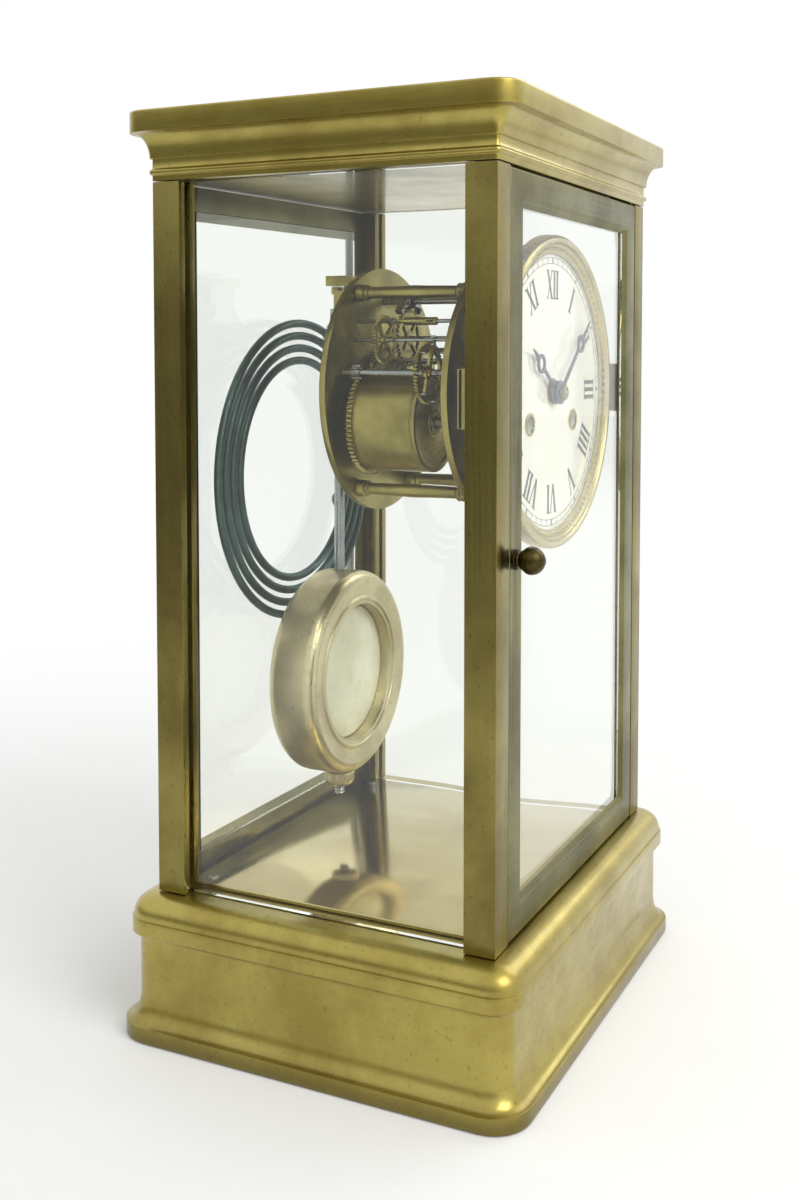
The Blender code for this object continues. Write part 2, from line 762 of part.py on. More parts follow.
def door(prefix, side):
    """A glazed door, hung on two pins at one stile and latched at the other.

    side is 1 for the front door and -1 for the back one, which is the same door turned round.
    """
    turn = Matrix.Diagonal((side, side, 1, 1)) @ Matrix.Rotation(math.pi / 2, 4, "X")
    origin = Vector((side * HINGE_X, -side * HINGE_Y, DOOR_MIDDLE))
    half_z = (DOOR_HIGH - DOOR_LOW) / 2
    front = HALF_DEPTH - HINGE_Y
    back = front - DOOR_THICKNESS
    shift = -HINGE_X

    def frame_section(inset, height):
        outline = rectangle(DOOR_HALF_WIDTH - inset, half_z - inset)
        return [(u + shift, v) for u, v in outline], height

    rebate = DOOR_RAIL - DOOR_LIP
    frame = lofted([
        frame_section(0, back), frame_section(0, front - DOOR_EDGE), frame_section(DOOR_EDGE, front),
        frame_section(DOOR_RAIL - DOOR_LIP_THICKNESS, front),
        frame_section(DOOR_RAIL, front - DOOR_LIP_THICKNESS),
        frame_section(rebate, front - DOOR_LIP_THICKNESS), frame_section(rebate, back),
    ], ring=True)
    bury = DOOR_RAIL / 2
    pins = [
        cylinder(HINGE_PIN_RADIUS, (0, end * (half_z - bury), 0),
                 (0, end * (half_z + DOOR_END_CLEARANCE + HINGE_PIN_REACH), 0))
        for end in (1, -1)
    ]
    frame = united([frame] + pins)
    knob_u = -KNOB_X - HINGE_X
    bore = cylinder(STEM_RADIUS + GAP, (knob_u, 0, back - OVERRUN), (knob_u, 0, front + OVERRUN))
    frame = cut(frame, [bore])
    pane = bevelled_pane(DOOR_HALF_WIDTH - rebate - GAP, half_z - rebate - GAP)
    pane_lift = front - DOOR_LIP_THICKNESS - GAP - PANE_THICKNESS
    pane.data.transform(Matrix.Translation((shift, 0, pane_lift)))
    knob = latch_knob(front, back)
    knob.data.transform(Matrix.Translation((knob_u, 0, 0)))
    for piece, name, finish in (
        (frame, "frame", "brass"), (pane, "glass", "glass"), (knob, "latch", "brass")
    ):
        piece.data.transform(turn)
        piece.location = origin
        finished(piece, prefix + "_door_" + name, finish)


def latch_knob(front, back):
    """Knob, stem and tongue in one piece, with the tongue upright and clear of the post."""
    collar = front + GAP
    neck = collar + KNOB_COLLAR_THICKNESS
    ball = neck + KNOB_REACH - KNOB_RADIUS
    behind = back - GAP
    profile = [(0, neck + KNOB_REACH)]
    for step in range(1, 5):
        du, dv = polar(KNOB_RADIUS, 90.0 - 30.0 * step)
        profile.append((du, ball + dv))
    profile += [
        (KNOB_NECK_RADIUS, ball - math.sqrt(KNOB_RADIUS**2 - KNOB_NECK_RADIUS**2)),
        (KNOB_NECK_RADIUS, neck),
        (KNOB_COLLAR_RADIUS, neck), (KNOB_COLLAR_RADIUS, collar), (STEM_RADIUS, collar),
        (STEM_RADIUS, behind - TONGUE_THICKNESS / 2), (0, behind - TONGUE_THICKNESS / 2),
    ]
    knob = turned(profile, KNOB_SIDES)
    half = TONGUE_WIDTH / 2
    tongue = box((-half, -half, behind - TONGUE_THICKNESS), (half, TONGUE_LENGTH, behind))
    return united([tongue, knob])


# Gears

def tooth_outline(teeth, module, heading, gap_there=False, fine=False):
    """A gear's outline with a tooth, or a gap, at this heading. Fine teeth are plain points."""
    pitch = 360.0 / teeth
    start = heading + (pitch / 2 if gap_there else 0)
    tip = module * (teeth / 2 + (ADDENDUM_SHARE if fine else PINION_ADDENDUM_SHARE))
    root = module * (teeth / 2 - DEDENDUM_SHARE)
    points = []
    for number in range(teeth):
        middle = start + pitch * number
        if fine:
            points += [polar(tip, middle), polar(root, middle + pitch / 2)]
        else:
            at_tip = TIP_WIDTH_SHARE * pitch
            at_root = ROOT_WIDTH_SHARE * pitch
            points += [
                polar(root, middle - at_root), polar(tip, middle - at_tip),
                polar(tip, middle + at_tip), polar(root, middle + at_root),
            ]
    return points


def crossings(radius, count, hub_radius):
    """The windows between a wheel's spokes, each an arc of rim and an arc of hub."""
    windows = []
    rim = radius * RIM_SHARE
    half_spoke = math.degrees(SPOKE_SHARE)
    for number in range(count):
        low = 360.0 * number / count
        high = low + 360.0 / count
        rim_margin = half_spoke
        hub_margin = min(half_spoke * rim / hub_radius / 2, 150.0 / count)
        outer = [
            polar(rim, low + rim_margin + (high - low - 2 * rim_margin) * step / ARC_STEPS)
            for step in range(ARC_STEPS + 1)
        ]
        inner = [polar(hub_radius, high - hub_margin), polar(hub_radius, low + hub_margin)]
        windows.append(outer + inner)
    return windows


def gear(teeth, module, heading, y_front, thickness, gap_there=False, windows=0):
    """A toothed disc at its depth, crossed out if it has windows."""
    outlines = [tooth_outline(teeth, module, heading, gap_there, fine=teeth > 15)]
    if windows:
        radius = module * (teeth / 2 - DEDENDUM_SHARE)
        outlines += crossings(radius, windows, radius * HUB_SHARE)
    return slab(outlines, y_front, y_front + thickness)


def arbor(y_front=FRONT_PLATE_Y, y_back=BACK_PLATE_BACK, radius=ARBOR_RADIUS):
    """A shaft between the plates with a thinner pivot at each end."""
    shoulder_front = FRONT_PLATE_BACK + GAP
    shoulder_back = BACK_PLATE_Y - GAP
    shaft = axial(radius, shoulder_front, shoulder_back)
    pivots = axial(PIVOT_RADIUS, y_front, y_back)
    return united([shaft, pivots])


def train_piece(pieces, name, place):
    """Wheel, pinion and arbor as one solid, on its axis."""
    u, v = place
    piece = united(pieces)
    piece.location = (u, 0, MOVEMENT_HEIGHT + v)
    piece.rotation_euler = FRONTWARD
    return finished(piece, name, "brass")


def meeting_point(centre_a, reach_a, centre_b, reach_b, side):
    """Where circles about two centres cross, on the given side of the line from a to b."""
    a, b = Vector(centre_a), Vector(centre_b)
    between = (b - a).length
    along = (reach_a**2 - reach_b**2 + between**2) / (2 * between)
    off = math.sqrt(max(reach_a**2 - along**2, 0))
    forward = (b - a) / between
    left = Vector((-forward.y, forward.x))
    return tuple(a + forward * along + left * off * side)


def train_places():
    """Where each arbor stands in the plates, from the wheels that mesh."""
    centre = (0.0, 0.0)
    time_barrel = (BARREL_X, -BARREL_DROP)
    strike_barrel = (-BARREL_X, -BARREL_DROP)
    centre_reach = INTERMEDIATE_MODULE * (INTERMEDIATE_TEETH + CENTRE_LEAVES) / 2
    intermediate = meeting_point(centre, centre_reach, time_barrel, BARREL_DISTANCE, 1)
    third_reach = CENTRE_MODULE * (CENTRE_TEETH + LOW_LEAVES) / 2
    escape_reach = THIRD_MODULE * (THIRD_TEETH + LOW_LEAVES) / 2
    half_span = math.radians(ANCHOR_SPAN_TEETH * 360.0 / ESCAPE_TEETH / 2)
    escape = (0.0, ANCHOR_HEIGHT - ESCAPE_RADIUS / math.cos(half_span))
    third = meeting_point(centre, third_reach, escape, escape_reach, 1)
    aim = heading_of(PIN_WHEEL_U - strike_barrel[0], PIN_WHEEL_V - strike_barrel[1])
    du, dv = polar(BARREL_DISTANCE, aim)
    pin_wheel = (strike_barrel[0] + du, strike_barrel[1] + dv)
    du, dv = polar(STRIKE_MODULE * (PIN_WHEEL_TEETH + LOW_LEAVES) / 2, LOCKING_HEADING)
    locking = (pin_wheel[0] + du, pin_wheel[1] + dv)
    du, dv = polar(LOCKING_MODULE * (LOCKING_TEETH + LOW_LEAVES) / 2, FLY_HEADING)
    fly = (locking[0] + du, locking[1] + dv)
    minute_reach = MINUTE_MODULE * (CANNON_LEAVES + MINUTE_TEETH) / 2
    return {
        "centre": centre, "time_barrel": time_barrel, "strike_barrel": strike_barrel,
        "intermediate": intermediate, "third": third, "escape": escape,
        "pin_wheel": pin_wheel, "locking": locking, "fly": fly,
        "minute": (0.0, -minute_reach), "hammer": (HAMMER_U, HAMMER_V),
        "anchor": (0.0, ANCHOR_HEIGHT),
    }


PLACES = train_places()


def heading_between(start, end):
    """The heading from one arbor to another."""
    return heading_of(PLACES[end][0] - PLACES[start][0], PLACES[end][1] - PLACES[start][1])


# Movement frame

def plates():
    """The two round plates, bored for every pivot, with the pillars riveted to the front one."""
    pivots = [(name, PIVOT_RADIUS) for name in (
        "intermediate", "third", "escape", "pin_wheel", "locking", "fly"
    )]
    through = [(name, WINDING_ARBOR_RADIUS) for name in ("time_barrel", "strike_barrel")]
    front = pivots + through + [
        ("centre", ARBOR_RADIUS), ("anchor", PIVOT_RADIUS), ("hammer", PIVOT_RADIUS)
    ]
    back = pivots + through + [
        ("centre", PIVOT_RADIUS), ("anchor", ARBOR_RADIUS), ("hammer", ARBOR_RADIUS)
    ]
    front_plate = plate_disc(FRONT_PLATE_Y, front)
    back_plate = plate_disc(BACK_PLATE_Y, back)
    bars = []
    holes = []
    for angle in PILLAR_ANGLES:
        u, v = polar(PILLAR_RING, angle)
        bars.append(pillar(u, v))
        holes.append(axial(
            PILLAR_TENON_RADIUS + GAP, BACK_PLATE_Y - OVERRUN, BACK_PLATE_BACK + OVERRUN, u, v
        ))
    for piece, name in (
        (united([front_plate] + bars), "front_plate"), (cut(back_plate, holes), "back_plate")
    ):
        piece.location = (0, 0, MOVEMENT_HEIGHT)
        piece.rotation_euler = FRONTWARD
        finished(piece, name, "brass")
    plate_nuts()


def plate_disc(y_front, bores):
    """One round plate with a hole for each pivot or arbor that it carries."""
    disc = axial(PLATE_RADIUS, y_front, y_front + PLATE_THICKNESS, sides=PLATE_SIDES)
    cutters = []
    for name, radius in bores:
        u, v = PLACES[name]
        cutters.append(axial(
            radius + GAP, y_front - OVERRUN, y_front + PLATE_THICKNESS + OVERRUN, u, v
        ))
    return cut(disc, cutters)


def pillar(u, v):
    """A turned pillar from inside the front plate to its tenon behind the back plate."""
    front = FRONT_PLATE_BACK - PLATE_THICKNESS / 2
    back = BACK_PLATE_Y - GAP
    waist_front = FRONT_PLATE_BACK + PILLAR_COLLAR
    waist_back = back - PILLAR_COLLAR
    tenon_back = BACK_PLATE_BACK + NUT_HEIGHT
    bar = turned([
        (0, -front), (PILLAR_RADIUS, -front), (PILLAR_RADIUS, -waist_front),
        (PILLAR_WAIST_RADIUS, -waist_front), (PILLAR_WAIST_RADIUS, -waist_back),
        (PILLAR_RADIUS, -waist_back), (PILLAR_RADIUS, -back), (PILLAR_TENON_RADIUS, -back),
        (PILLAR_TENON_RADIUS, -tenon_back), (0, -tenon_back),
    ], ROUND_SIDES)
    bar.data.transform(Matrix.Translation((u, v, 0)))
    return bar


def plate_nuts():
    """The nuts on the pillars' tenons, which hold the back plate on."""
    seat = BACK_PLATE_BACK + GAP
    for number, angle in enumerate(PILLAR_ANGLES, start=1):
        u, v = polar(PILLAR_RING, angle)
        nut = axial(NUT_RADIUS, seat, seat + NUT_HEIGHT, sides=6)
        nut = cut(nut, [axial(PILLAR_TENON_RADIUS + GAP, seat - OVERRUN, seat + NUT_HEIGHT + OVERRUN)])
        nut.location = (u, 0, MOVEMENT_HEIGHT + v)
        nut.rotation_euler = FRONTWARD
        finished(nut, f"plate_nut_{number}", "steel")


# Barrels and winding

def barrel(prefix, sign, mate):
    """A mainspring drum with its great wheel on the rear end, bored for the winding arbor."""
    bore = WINDING_ARBOR_RADIUS + GAP
    wall = DRUM_WALL
    drum = turned([
        (DRUM_RADIUS, -DRUM_FRONT_Y), (DRUM_RADIUS, -DRUM_BACK_Y), (bore, -DRUM_BACK_Y),
        (bore, -DRUM_BACK_Y + wall), (DRUM_RADIUS - wall, -DRUM_BACK_Y + wall),
        (DRUM_RADIUS - wall, -DRUM_FRONT_Y - wall), (bore, -DRUM_FRONT_Y - wall), (bore, -DRUM_FRONT_Y),
    ], DRUM_SIDES, cyclic=True)
    bite = wall / 3
    heading = heading_between(prefix + "_barrel", mate)
    rim = tooth_outline(GREAT_TEETH, GREAT_MODULE, heading, fine=True)
    hole = [polar(bore, 360.0 * step / DRUM_SIDES) for step in range(DRUM_SIDES)]
    great = slab([rim, hole], DRUM_BACK_Y - bite, DRUM_BACK_Y - bite + GREAT_THICKNESS)
    train_piece([drum, great], prefix + "_barrel", PLACES[prefix + "_barrel"])
    mainspring(prefix, sign)
    winding_arbor(prefix, sign)


def mainspring(prefix, sign):
    """The coiled strip inside the drum, from the arbor out to the wall."""
    inner = WINDING_ARBOR_RADIUS + 2 * GAP
    outer = DRUM_RADIUS - DRUM_WALL - SPRING_THICKNESS - GAP
    count = SPRING_TURNS * SPRING_STEPS
    path = []
    for step in range(count + 1):
        share = step / count
        path.append((inner + (outer - inner) * share, sign * 360.0 * SPRING_TURNS * share))
    outside = [polar(radius + SPRING_THICKNESS, angle) for radius, angle in path]
    inside = [polar(radius, angle) for radius, angle in reversed(path)]
    margin = DRUM_WALL + 2 * GAP
    strip = slab([outside + inside], DRUM_FRONT_Y + margin, DRUM_BACK_Y - margin)
    u, v = PLACES[prefix + "_barrel"]
    strip.location = (u, 0, MOVEMENT_HEIGHT + v)
    strip.rotation_euler = FRONTWARD
    finished(strip, prefix + "_mainspring", "blued_steel")


def winding_arbor(prefix, sign):
    """The arbor that the key turns, with its ratchet wheel and square, and the click beside it."""
    u, v = PLACES[prefix + "_barrel"]
    ratchet_front = FRONT_PLATE_Y - GAP - RATCHET_THICKNESS
    square_half = WINDING_SQUARE / 2
    shaft = axial(WINDING_ARBOR_RADIUS, ratchet_front, BACK_PLATE_BACK)
    square = slab([rectangle(square_half, square_half)], WINDING_REACH_Y, ratchet_front + GAP)
    rim = []
    pitch = 360.0 / RATCHET_TEETH
    for number in range(RATCHET_TEETH):
        rim += [polar(RATCHET_RADIUS, pitch * number), polar(RATCHET_ROOT, pitch * number + sign * pitch / 8)]
        if sign < 0:
            rim[-2:] = rim[-1:] + rim[-2:-1]
    ratchet = slab([rim], ratchet_front, ratchet_front + RATCHET_THICKNESS)
    piece = united([ratchet, shaft, square])
    piece.location = (u, 0, MOVEMENT_HEIGHT + v)
    piece.rotation_euler = FRONTWARD
    finished(piece, prefix + "_winding_arbor", "steel")
    pivot_u = u + sign * CLICK_REACH
    pivot_v = v + CLICK_RISE
    nose = math.hypot(CLICK_REACH, CLICK_RISE) - RATCHET_RADIUS - GAP
    aim = heading_of(-sign * CLICK_REACH, -CLICK_RISE)
    tip = polar(nose, aim)
    broad = CLICK_WIDTH_RADIUS
    pawl = slab([[
        tip, polar(broad, aim + 50.0), polar(broad, aim + 120.0), polar(CLICK_TAIL_RADIUS, aim + 180.0),
        polar(broad, aim + 240.0), polar(broad, aim + 310.0),
    ]], ratchet_front, ratchet_front + CLICK_THICKNESS)
    head = axial(CLICK_HEAD_RADIUS, ratchet_front - CLICK_THICKNESS / 2, ratchet_front + CLICK_THICKNESS / 2)
    click = united([pawl, head])
    click.location = (pivot_u, 0, MOVEMENT_HEIGHT + pivot_v)
    click.rotation_euler = FRONTWARD
    finished(click, prefix + "_click", "steel")


# Going train and escapement

def going_train():
    """Intermediate, centre, third and escape wheels, each meshing with the next pinion."""
    great_y = DRUM_BACK_Y
    middle = PINION_THICKNESS / 2
    pinion_y = great_y + GREAT_THICKNESS / 2 - middle
    train_piece([
        arbor(),
        gear(BARREL_PINION_LEAVES, GREAT_MODULE, heading_between("intermediate", "time_barrel"),
             pinion_y, PINION_THICKNESS, gap_there=True),
        gear(INTERMEDIATE_TEETH, INTERMEDIATE_MODULE, heading_between("intermediate", "centre"),
             INTERMEDIATE_WHEEL_Y, WHEEL_THICKNESS, windows=WHEEL_WINDOWS),
    ], "intermediate_wheel", PLACES["intermediate"])
    train_piece([
        arbor(y_front=CENTRE_FRONT_Y),
        axial(CANNON_BORE - GAP, CENTRE_FRONT_Y, FRONT_PLATE_BACK + OVERRUN),
        gear(CENTRE_LEAVES, INTERMEDIATE_MODULE, heading_between("centre", "intermediate"),
             INTERMEDIATE_WHEEL_Y + WHEEL_THICKNESS / 2 - middle / 2, middle, gap_there=True),
        gear(CENTRE_TEETH, CENTRE_MODULE, heading_between("centre", "third"),
             CENTRE_WHEEL_Y, WHEEL_THICKNESS, windows=WHEEL_WINDOWS),
    ], "centre_wheel", PLACES["centre"])
    train_piece([
        arbor(radius=FINE_ARBOR_RADIUS),
        gear(LOW_LEAVES, CENTRE_MODULE, heading_between("third", "centre"),
             CENTRE_WHEEL_Y + WHEEL_THICKNESS / 2 - middle / 2, middle, gap_there=True),
        gear(THIRD_TEETH, THIRD_MODULE, heading_between("third", "escape"),
             THIRD_WHEEL_Y, WHEEL_THICKNESS, windows=WHEEL_WINDOWS),
    ], "third_wheel", PLACES["third"])
    pinion = gear(LOW_LEAVES, THIRD_MODULE, heading_between("escape", "third"),
                  THIRD_WHEEL_Y + WHEEL_THICKNESS / 2 - middle / 2, middle, gap_there=True)
    train_piece([arbor(radius=FINE_ARBOR_RADIUS), pinion, escape_disc()], "escape_wheel", PLACES["escape"])


def escape_disc():
    """The escape wheel's thin disc, its teeth standing midway between the anchor's nibs."""
    pitch = 360.0 / ESCAPE_TEETH
    start = 90.0 + ANCHOR_SPAN_TEETH * pitch / 2 + pitch / 4
    rim = []
    for number in range(ESCAPE_TEETH):
        angle = start + pitch * number
        rim += [polar(ESCAPE_RADIUS, angle), polar(ESCAPE_ROOT, angle + pitch * (0.5 + ESCAPE_LEAN_SHARE))]
    windows = crossings(ESCAPE_ROOT, WHEEL_WINDOWS, ESCAPE_ROOT * ESCAPE_HUB_SHARE)
    return slab([rim] + windows, ESCAPE_WHEEL_Y, ESCAPE_WHEEL_Y + WHEEL_THICKNESS)


def pallet_anchor():
    """Anchor with two nibs over the escape wheel, on the arbor that the crutch hangs from."""
    half_span = ANCHOR_SPAN_TEETH * 360.0 / ESCAPE_TEETH / 2
    drop = PLACES["escape"][1] - PLACES["anchor"][1]
    du, dv = polar(ESCAPE_RADIUS + NIB_LIFT, 90.0 - half_span)
    tip = Vector((du, drop + dv))
    inward = Vector((-du, -dv)).normalized()
    across = Vector((-inward.y, inward.x))
    root = tip - inward * NIB_LENGTH
    right = [
        Vector((0, ANCHOR_ARM)), Vector((ANCHOR_SHOULDER_U, ANCHOR_SHOULDER_V)),
        root + across * NIB_OUTER, tip + across * NIB_WIDTH / 2,
        tip - across * NIB_WIDTH / 2, root - across * NIB_INNER, Vector((0, -ANCHOR_ARM / 2)),
    ]
    left = [Vector((-point.x, point.y)) for point in reversed(right[1:-1])]
    outline = [tuple(point) for point in right + left]
    depth = ESCAPE_WHEEL_Y + WHEEL_THICKNESS / 2 - ANCHOR_THICKNESS / 2
    pallets = slab([outline], depth, depth + ANCHOR_THICKNESS)
    hub = axial(ANCHOR_HUB_RADIUS, depth - PLATE_BITE, depth + ANCHOR_THICKNESS + PLATE_BITE, sides=12)
    bridge = BACK_PLATE_BACK + COCK_REACH
    shaft = axial(ARBOR_RADIUS - FINE_GAP, FRONT_PLATE_BACK + GAP, bridge - COCK_SHEET - GAP)
    pivots = axial(PIVOT_RADIUS, FRONT_PLATE_Y, bridge)
    train_piece([shaft, pivots, hub, pallets] + crutch_strip(), "pallet_anchor", PLACES["anchor"])


def crutch_strip():
    """A strip from the anchor's arbor down to a fork that embraces the pendulum rod."""
    half = CRUTCH_WIDTH / 2
    y_front = CRUTCH_Y
    y_back = y_front + CRUTCH_THICKNESS
    prong_in = ROD_RADIUS + CRUTCH_PLAY
    prong_out = prong_in + PRONG_WIDTH
    hub = axial(CRUTCH_HUB_RADIUS, y_front, y_back, sides=12)
    strip = box((-half, -CRUTCH_DROP, -y_back), (half, 0, -y_front))
    low = -CRUTCH_DROP - half
    high = -CRUTCH_DROP + half
    foot = box((-prong_out, low, -y_back), (prong_out, high, -y_front))
    prongs = [
        box((min(a, b), low, -(PENDULUM_Y + PRONG_REACH)), (max(a, b), high, -y_front - PLATE_BITE))
        for a, b in ((prong_in, prong_out), (-prong_in, -prong_out))
    ]
    return [hub, strip, foot] + prongs


def back_cock():
    """Bridge behind the back plate: it holds the anchor's rear pivot and the suspension."""
    seat = BACK_PLATE_BACK + GAP
    rear = BACK_PLATE_BACK + COCK_REACH
    leg = COCK_HALF_WIDTH - COCK_FOOT
    plan = [
        (-COCK_HALF_WIDTH, seat), (-leg, seat), (-leg, rear - COCK_SHEET), (leg, rear - COCK_SHEET),
        (leg, seat), (COCK_HALF_WIDTH, seat), (COCK_HALF_WIDTH, seat + COCK_SHEET),
        (leg + COCK_SHEET, seat + COCK_SHEET), (leg + COCK_SHEET, rear), (-leg - COCK_SHEET, rear),
        (-leg - COCK_SHEET, seat + COCK_SHEET), (-COCK_HALF_WIDTH, seat + COCK_SHEET),
    ]
    bridge = prism([plan], FLEX_HEIGHT - COCK_HALF_HEIGHT, FLEX_HEIGHT + LUG_LOW + LUG_HEIGHT)
    relief_low = FLEX_HEIGHT + COCK_HALF_HEIGHT
    reliefs = [
        box((min(a, b), seat - OVERRUN, relief_low), (max(a, b), rear + OVERRUN, CASE_HEIGHT))
        for a, b in ((LUG_HALF_WIDTH, CASE_WIDTH), (-LUG_HALF_WIDTH, -CASE_WIDTH))
    ]
    bridge = cut(bridge, reliefs)
    lug = box(
        (-LUG_HALF_WIDTH, rear - COCK_SHEET / 2, FLEX_HEIGHT + LUG_LOW),
        (LUG_HALF_WIDTH, PENDULUM_Y + LUG_REACH, FLEX_HEIGHT + LUG_LOW + LUG_HEIGHT),
    )
    bridge = united([bridge, lug])
    bore = cylinder(
        PIVOT_RADIUS + GAP, (0, rear - COCK_SHEET - OVERRUN, FLEX_HEIGHT), (0, rear + OVERRUN, FLEX_HEIGHT)
    )
    finished(cut(bridge, [bore]), "back_cock", "brass")


def suspension_spring():
    """Thin blade under a brass chop, bending at the height of the anchor's arbor."""
    top = FLEX_HEIGHT + LUG_LOW - GAP
    half = CHOP_THICKNESS / 2
    chop = box(
        (-CHOP_HALF_WIDTH, PENDULUM_Y - half, top - CHOP_HEIGHT), (CHOP_HALF_WIDTH, PENDULUM_Y + half, top)
    )
    blade_half = BLADE_THICKNESS / 2
    blade = box(
        (-blade_half, PENDULUM_Y - BLADE_HALF_WIDTH, top - CHOP_HEIGHT - BLADE_LENGTH),
        (blade_half, PENDULUM_Y + BLADE_HALF_WIDTH, top - CHOP_HEIGHT / 2),
    )
    finished(united([chop, blade]), "suspension_spring", "steel")


def pendulum():
    """Slotted hook, rod, ring bob with its domed centre, and the rating nut."""
    blade_end = FLEX_HEIGHT + LUG_LOW - GAP - CHOP_HEIGHT - BLADE_LENGTH
    hook_top = blade_end + HOOK_SLOT_DEPTH - GAP
    hook = cylinder(CHOP_HALF_WIDTH, (0, PENDULUM_Y, hook_top - HOOK_HEIGHT), (0, PENDULUM_Y, hook_top), 12)
    half = HOOK_SLOT / 2
    slot = box(
        (-half, PENDULUM_Y - CHOP_HALF_WIDTH - OVERRUN, hook_top - HOOK_SLOT_DEPTH),
        (half, PENDULUM_Y + CHOP_HALF_WIDTH + OVERRUN, hook_top + OVERRUN),
    )
    bob_low = BOB_HEIGHT - BOB_RADIUS
    rod = cylinder(
        ROD_RADIUS, (0, PENDULUM_Y, bob_low - ROD_TIP), (0, PENDULUM_Y, hook_top - HOOK_HEIGHT + ROD_BITE), 12
    )
    shank = united([cut(hook, [slot]), rod])
    shank.data.transform(Matrix.Translation((0, -PENDULUM_Y, -FLEX_HEIGHT)))
    shank.location = (0, PENDULUM_Y, FLEX_HEIGHT)
    finished(shank, "pendulum_rod", "steel")
    half_bob = BOB_THICKNESS / 2
    flat = half_bob - BOB_ROUNDING
    rim = [(BOB_EYE_RADIUS, -half_bob), (BOB_EYE_RADIUS, half_bob), (BOB_RADIUS - BOB_ROUNDING, half_bob)]
    rim += [
        (BOB_RADIUS - BOB_ROUNDING + polar(BOB_ROUNDING, angle)[0], flat + polar(BOB_ROUNDING, angle)[1])
        for angle in (60.0, 30.0, 0.0)
    ]
    rim += [
        (BOB_RADIUS - BOB_ROUNDING + polar(BOB_ROUNDING, angle)[0], -flat + polar(BOB_ROUNDING, angle)[1])
        for angle in (0.0, -30.0, -60.0)
    ]
    rim.append((BOB_RADIUS - BOB_ROUNDING, -half_bob))
    ring = turned(rim, BOB_SIDES, cyclic=True)
    face = BOB_EYE_RADIUS - GAP
    edge = BOB_FACE_EDGE / 2
    crown = edge + BOB_FACE_CROWN
    dome = turned([
        (0, crown), (face / 2, edge + BOB_FACE_SHOULDER), (face, edge),
        (face, -edge), (face / 2, -edge - BOB_FACE_SHOULDER), (0, -crown),
    ], BOB_SIDES // 2)
    for piece, name, finish in ((ring, "pendulum_bob", "brass"), (dome, "bob_centre", "silvered")):
        bore = cylinder(ROD_RADIUS + GAP, (0, -BOB_RADIUS - OVERRUN, 0), (0, BOB_RADIUS + OVERRUN, 0), 12)
        piece = cut(piece, [bore])
        piece.data.transform(Matrix.Rotation(math.pi / 2, 4, "X"))
        piece.data.transform(Matrix.Translation((0, 0, BOB_HEIGHT - FLEX_HEIGHT)))
        piece.location = (0, PENDULUM_Y, FLEX_HEIGHT)
        finished(piece, name, finish)
    nut_top = bob_low - GAP
    nut = cylinder(RATING_NUT_RADIUS, (0, 0, 0), (0, 0, RATING_NUT_HEIGHT), 16)
    bore = cylinder(ROD_RADIUS + GAP, (0, 0, -OVERRUN), (0, 0, RATING_NUT_HEIGHT + OVERRUN), 12)
    nut = cut(nut, [bore])
    nut.location = (0, PENDULUM_Y, nut_top - RATING_NUT_HEIGHT)
    finished(nut, "rating_nut", "brass")


# Striking

def striking_train():
    """Pin wheel, locking wheel and fly, driven by the left-hand barrel."""
    middle = PINION_THICKNESS / 2
    great_middle = DRUM_BACK_Y + GREAT_THICKNESS / 2
    pins = []
    pin_ring = STRIKE_MODULE * PIN_WHEEL_TEETH / 2 * (1 + RIM_SHARE) / 2
    for number in range(PIN_COUNT):
        u, v = polar(pin_ring, 360.0 * number / PIN_COUNT)
        y = PIN_WHEEL_Y + WHEEL_THICKNESS / 2
        pins.append(axial(PIN_RADIUS, y - PIN_LENGTH, y, u, v, sides=5))
    train_piece([
        arbor(),
        gear(BARREL_PINION_LEAVES, GREAT_MODULE, heading_between("pin_wheel", "strike_barrel"),
             great_middle - middle, PINION_THICKNESS, gap_there=True),
        gear(PIN_WHEEL_TEETH, STRIKE_MODULE, heading_between("pin_wheel", "locking"),
             PIN_WHEEL_Y, WHEEL_THICKNESS, windows=WHEEL_WINDOWS),
    ] + pins, "strike_pin_wheel", PLACES["pin_wheel"])
    train_piece([
        arbor(radius=FINE_ARBOR_RADIUS),
        gear(LOW_LEAVES, STRIKE_MODULE, heading_between("locking", "pin_wheel"),
             PIN_WHEEL_Y + WHEEL_THICKNESS / 2 - middle / 2, middle, gap_there=True),
        gear(LOCKING_TEETH, LOCKING_MODULE, heading_between("locking", "fly"),
             LOCKING_WHEEL_Y, WHEEL_THICKNESS, windows=WHEEL_WINDOWS),
    ], "strike_locking_wheel", PLACES["locking"])
    vane = FLY_THICKNESS / 2
    blade = box((-FLY_SPAN, -vane, -(FLY_FRONT_Y + FLY_LENGTH)), (FLY_SPAN, vane, -FLY_FRONT_Y))
    train_piece([
        arbor(radius=FINE_ARBOR_RADIUS),
        gear(LOW_LEAVES, LOCKING_MODULE, heading_between("fly", "locking"),
             LOCKING_WHEEL_Y + WHEEL_THICKNESS / 2 - middle / 2, middle, gap_there=True),
        blade,
    ], "strike_fly", PLACES["fly"])


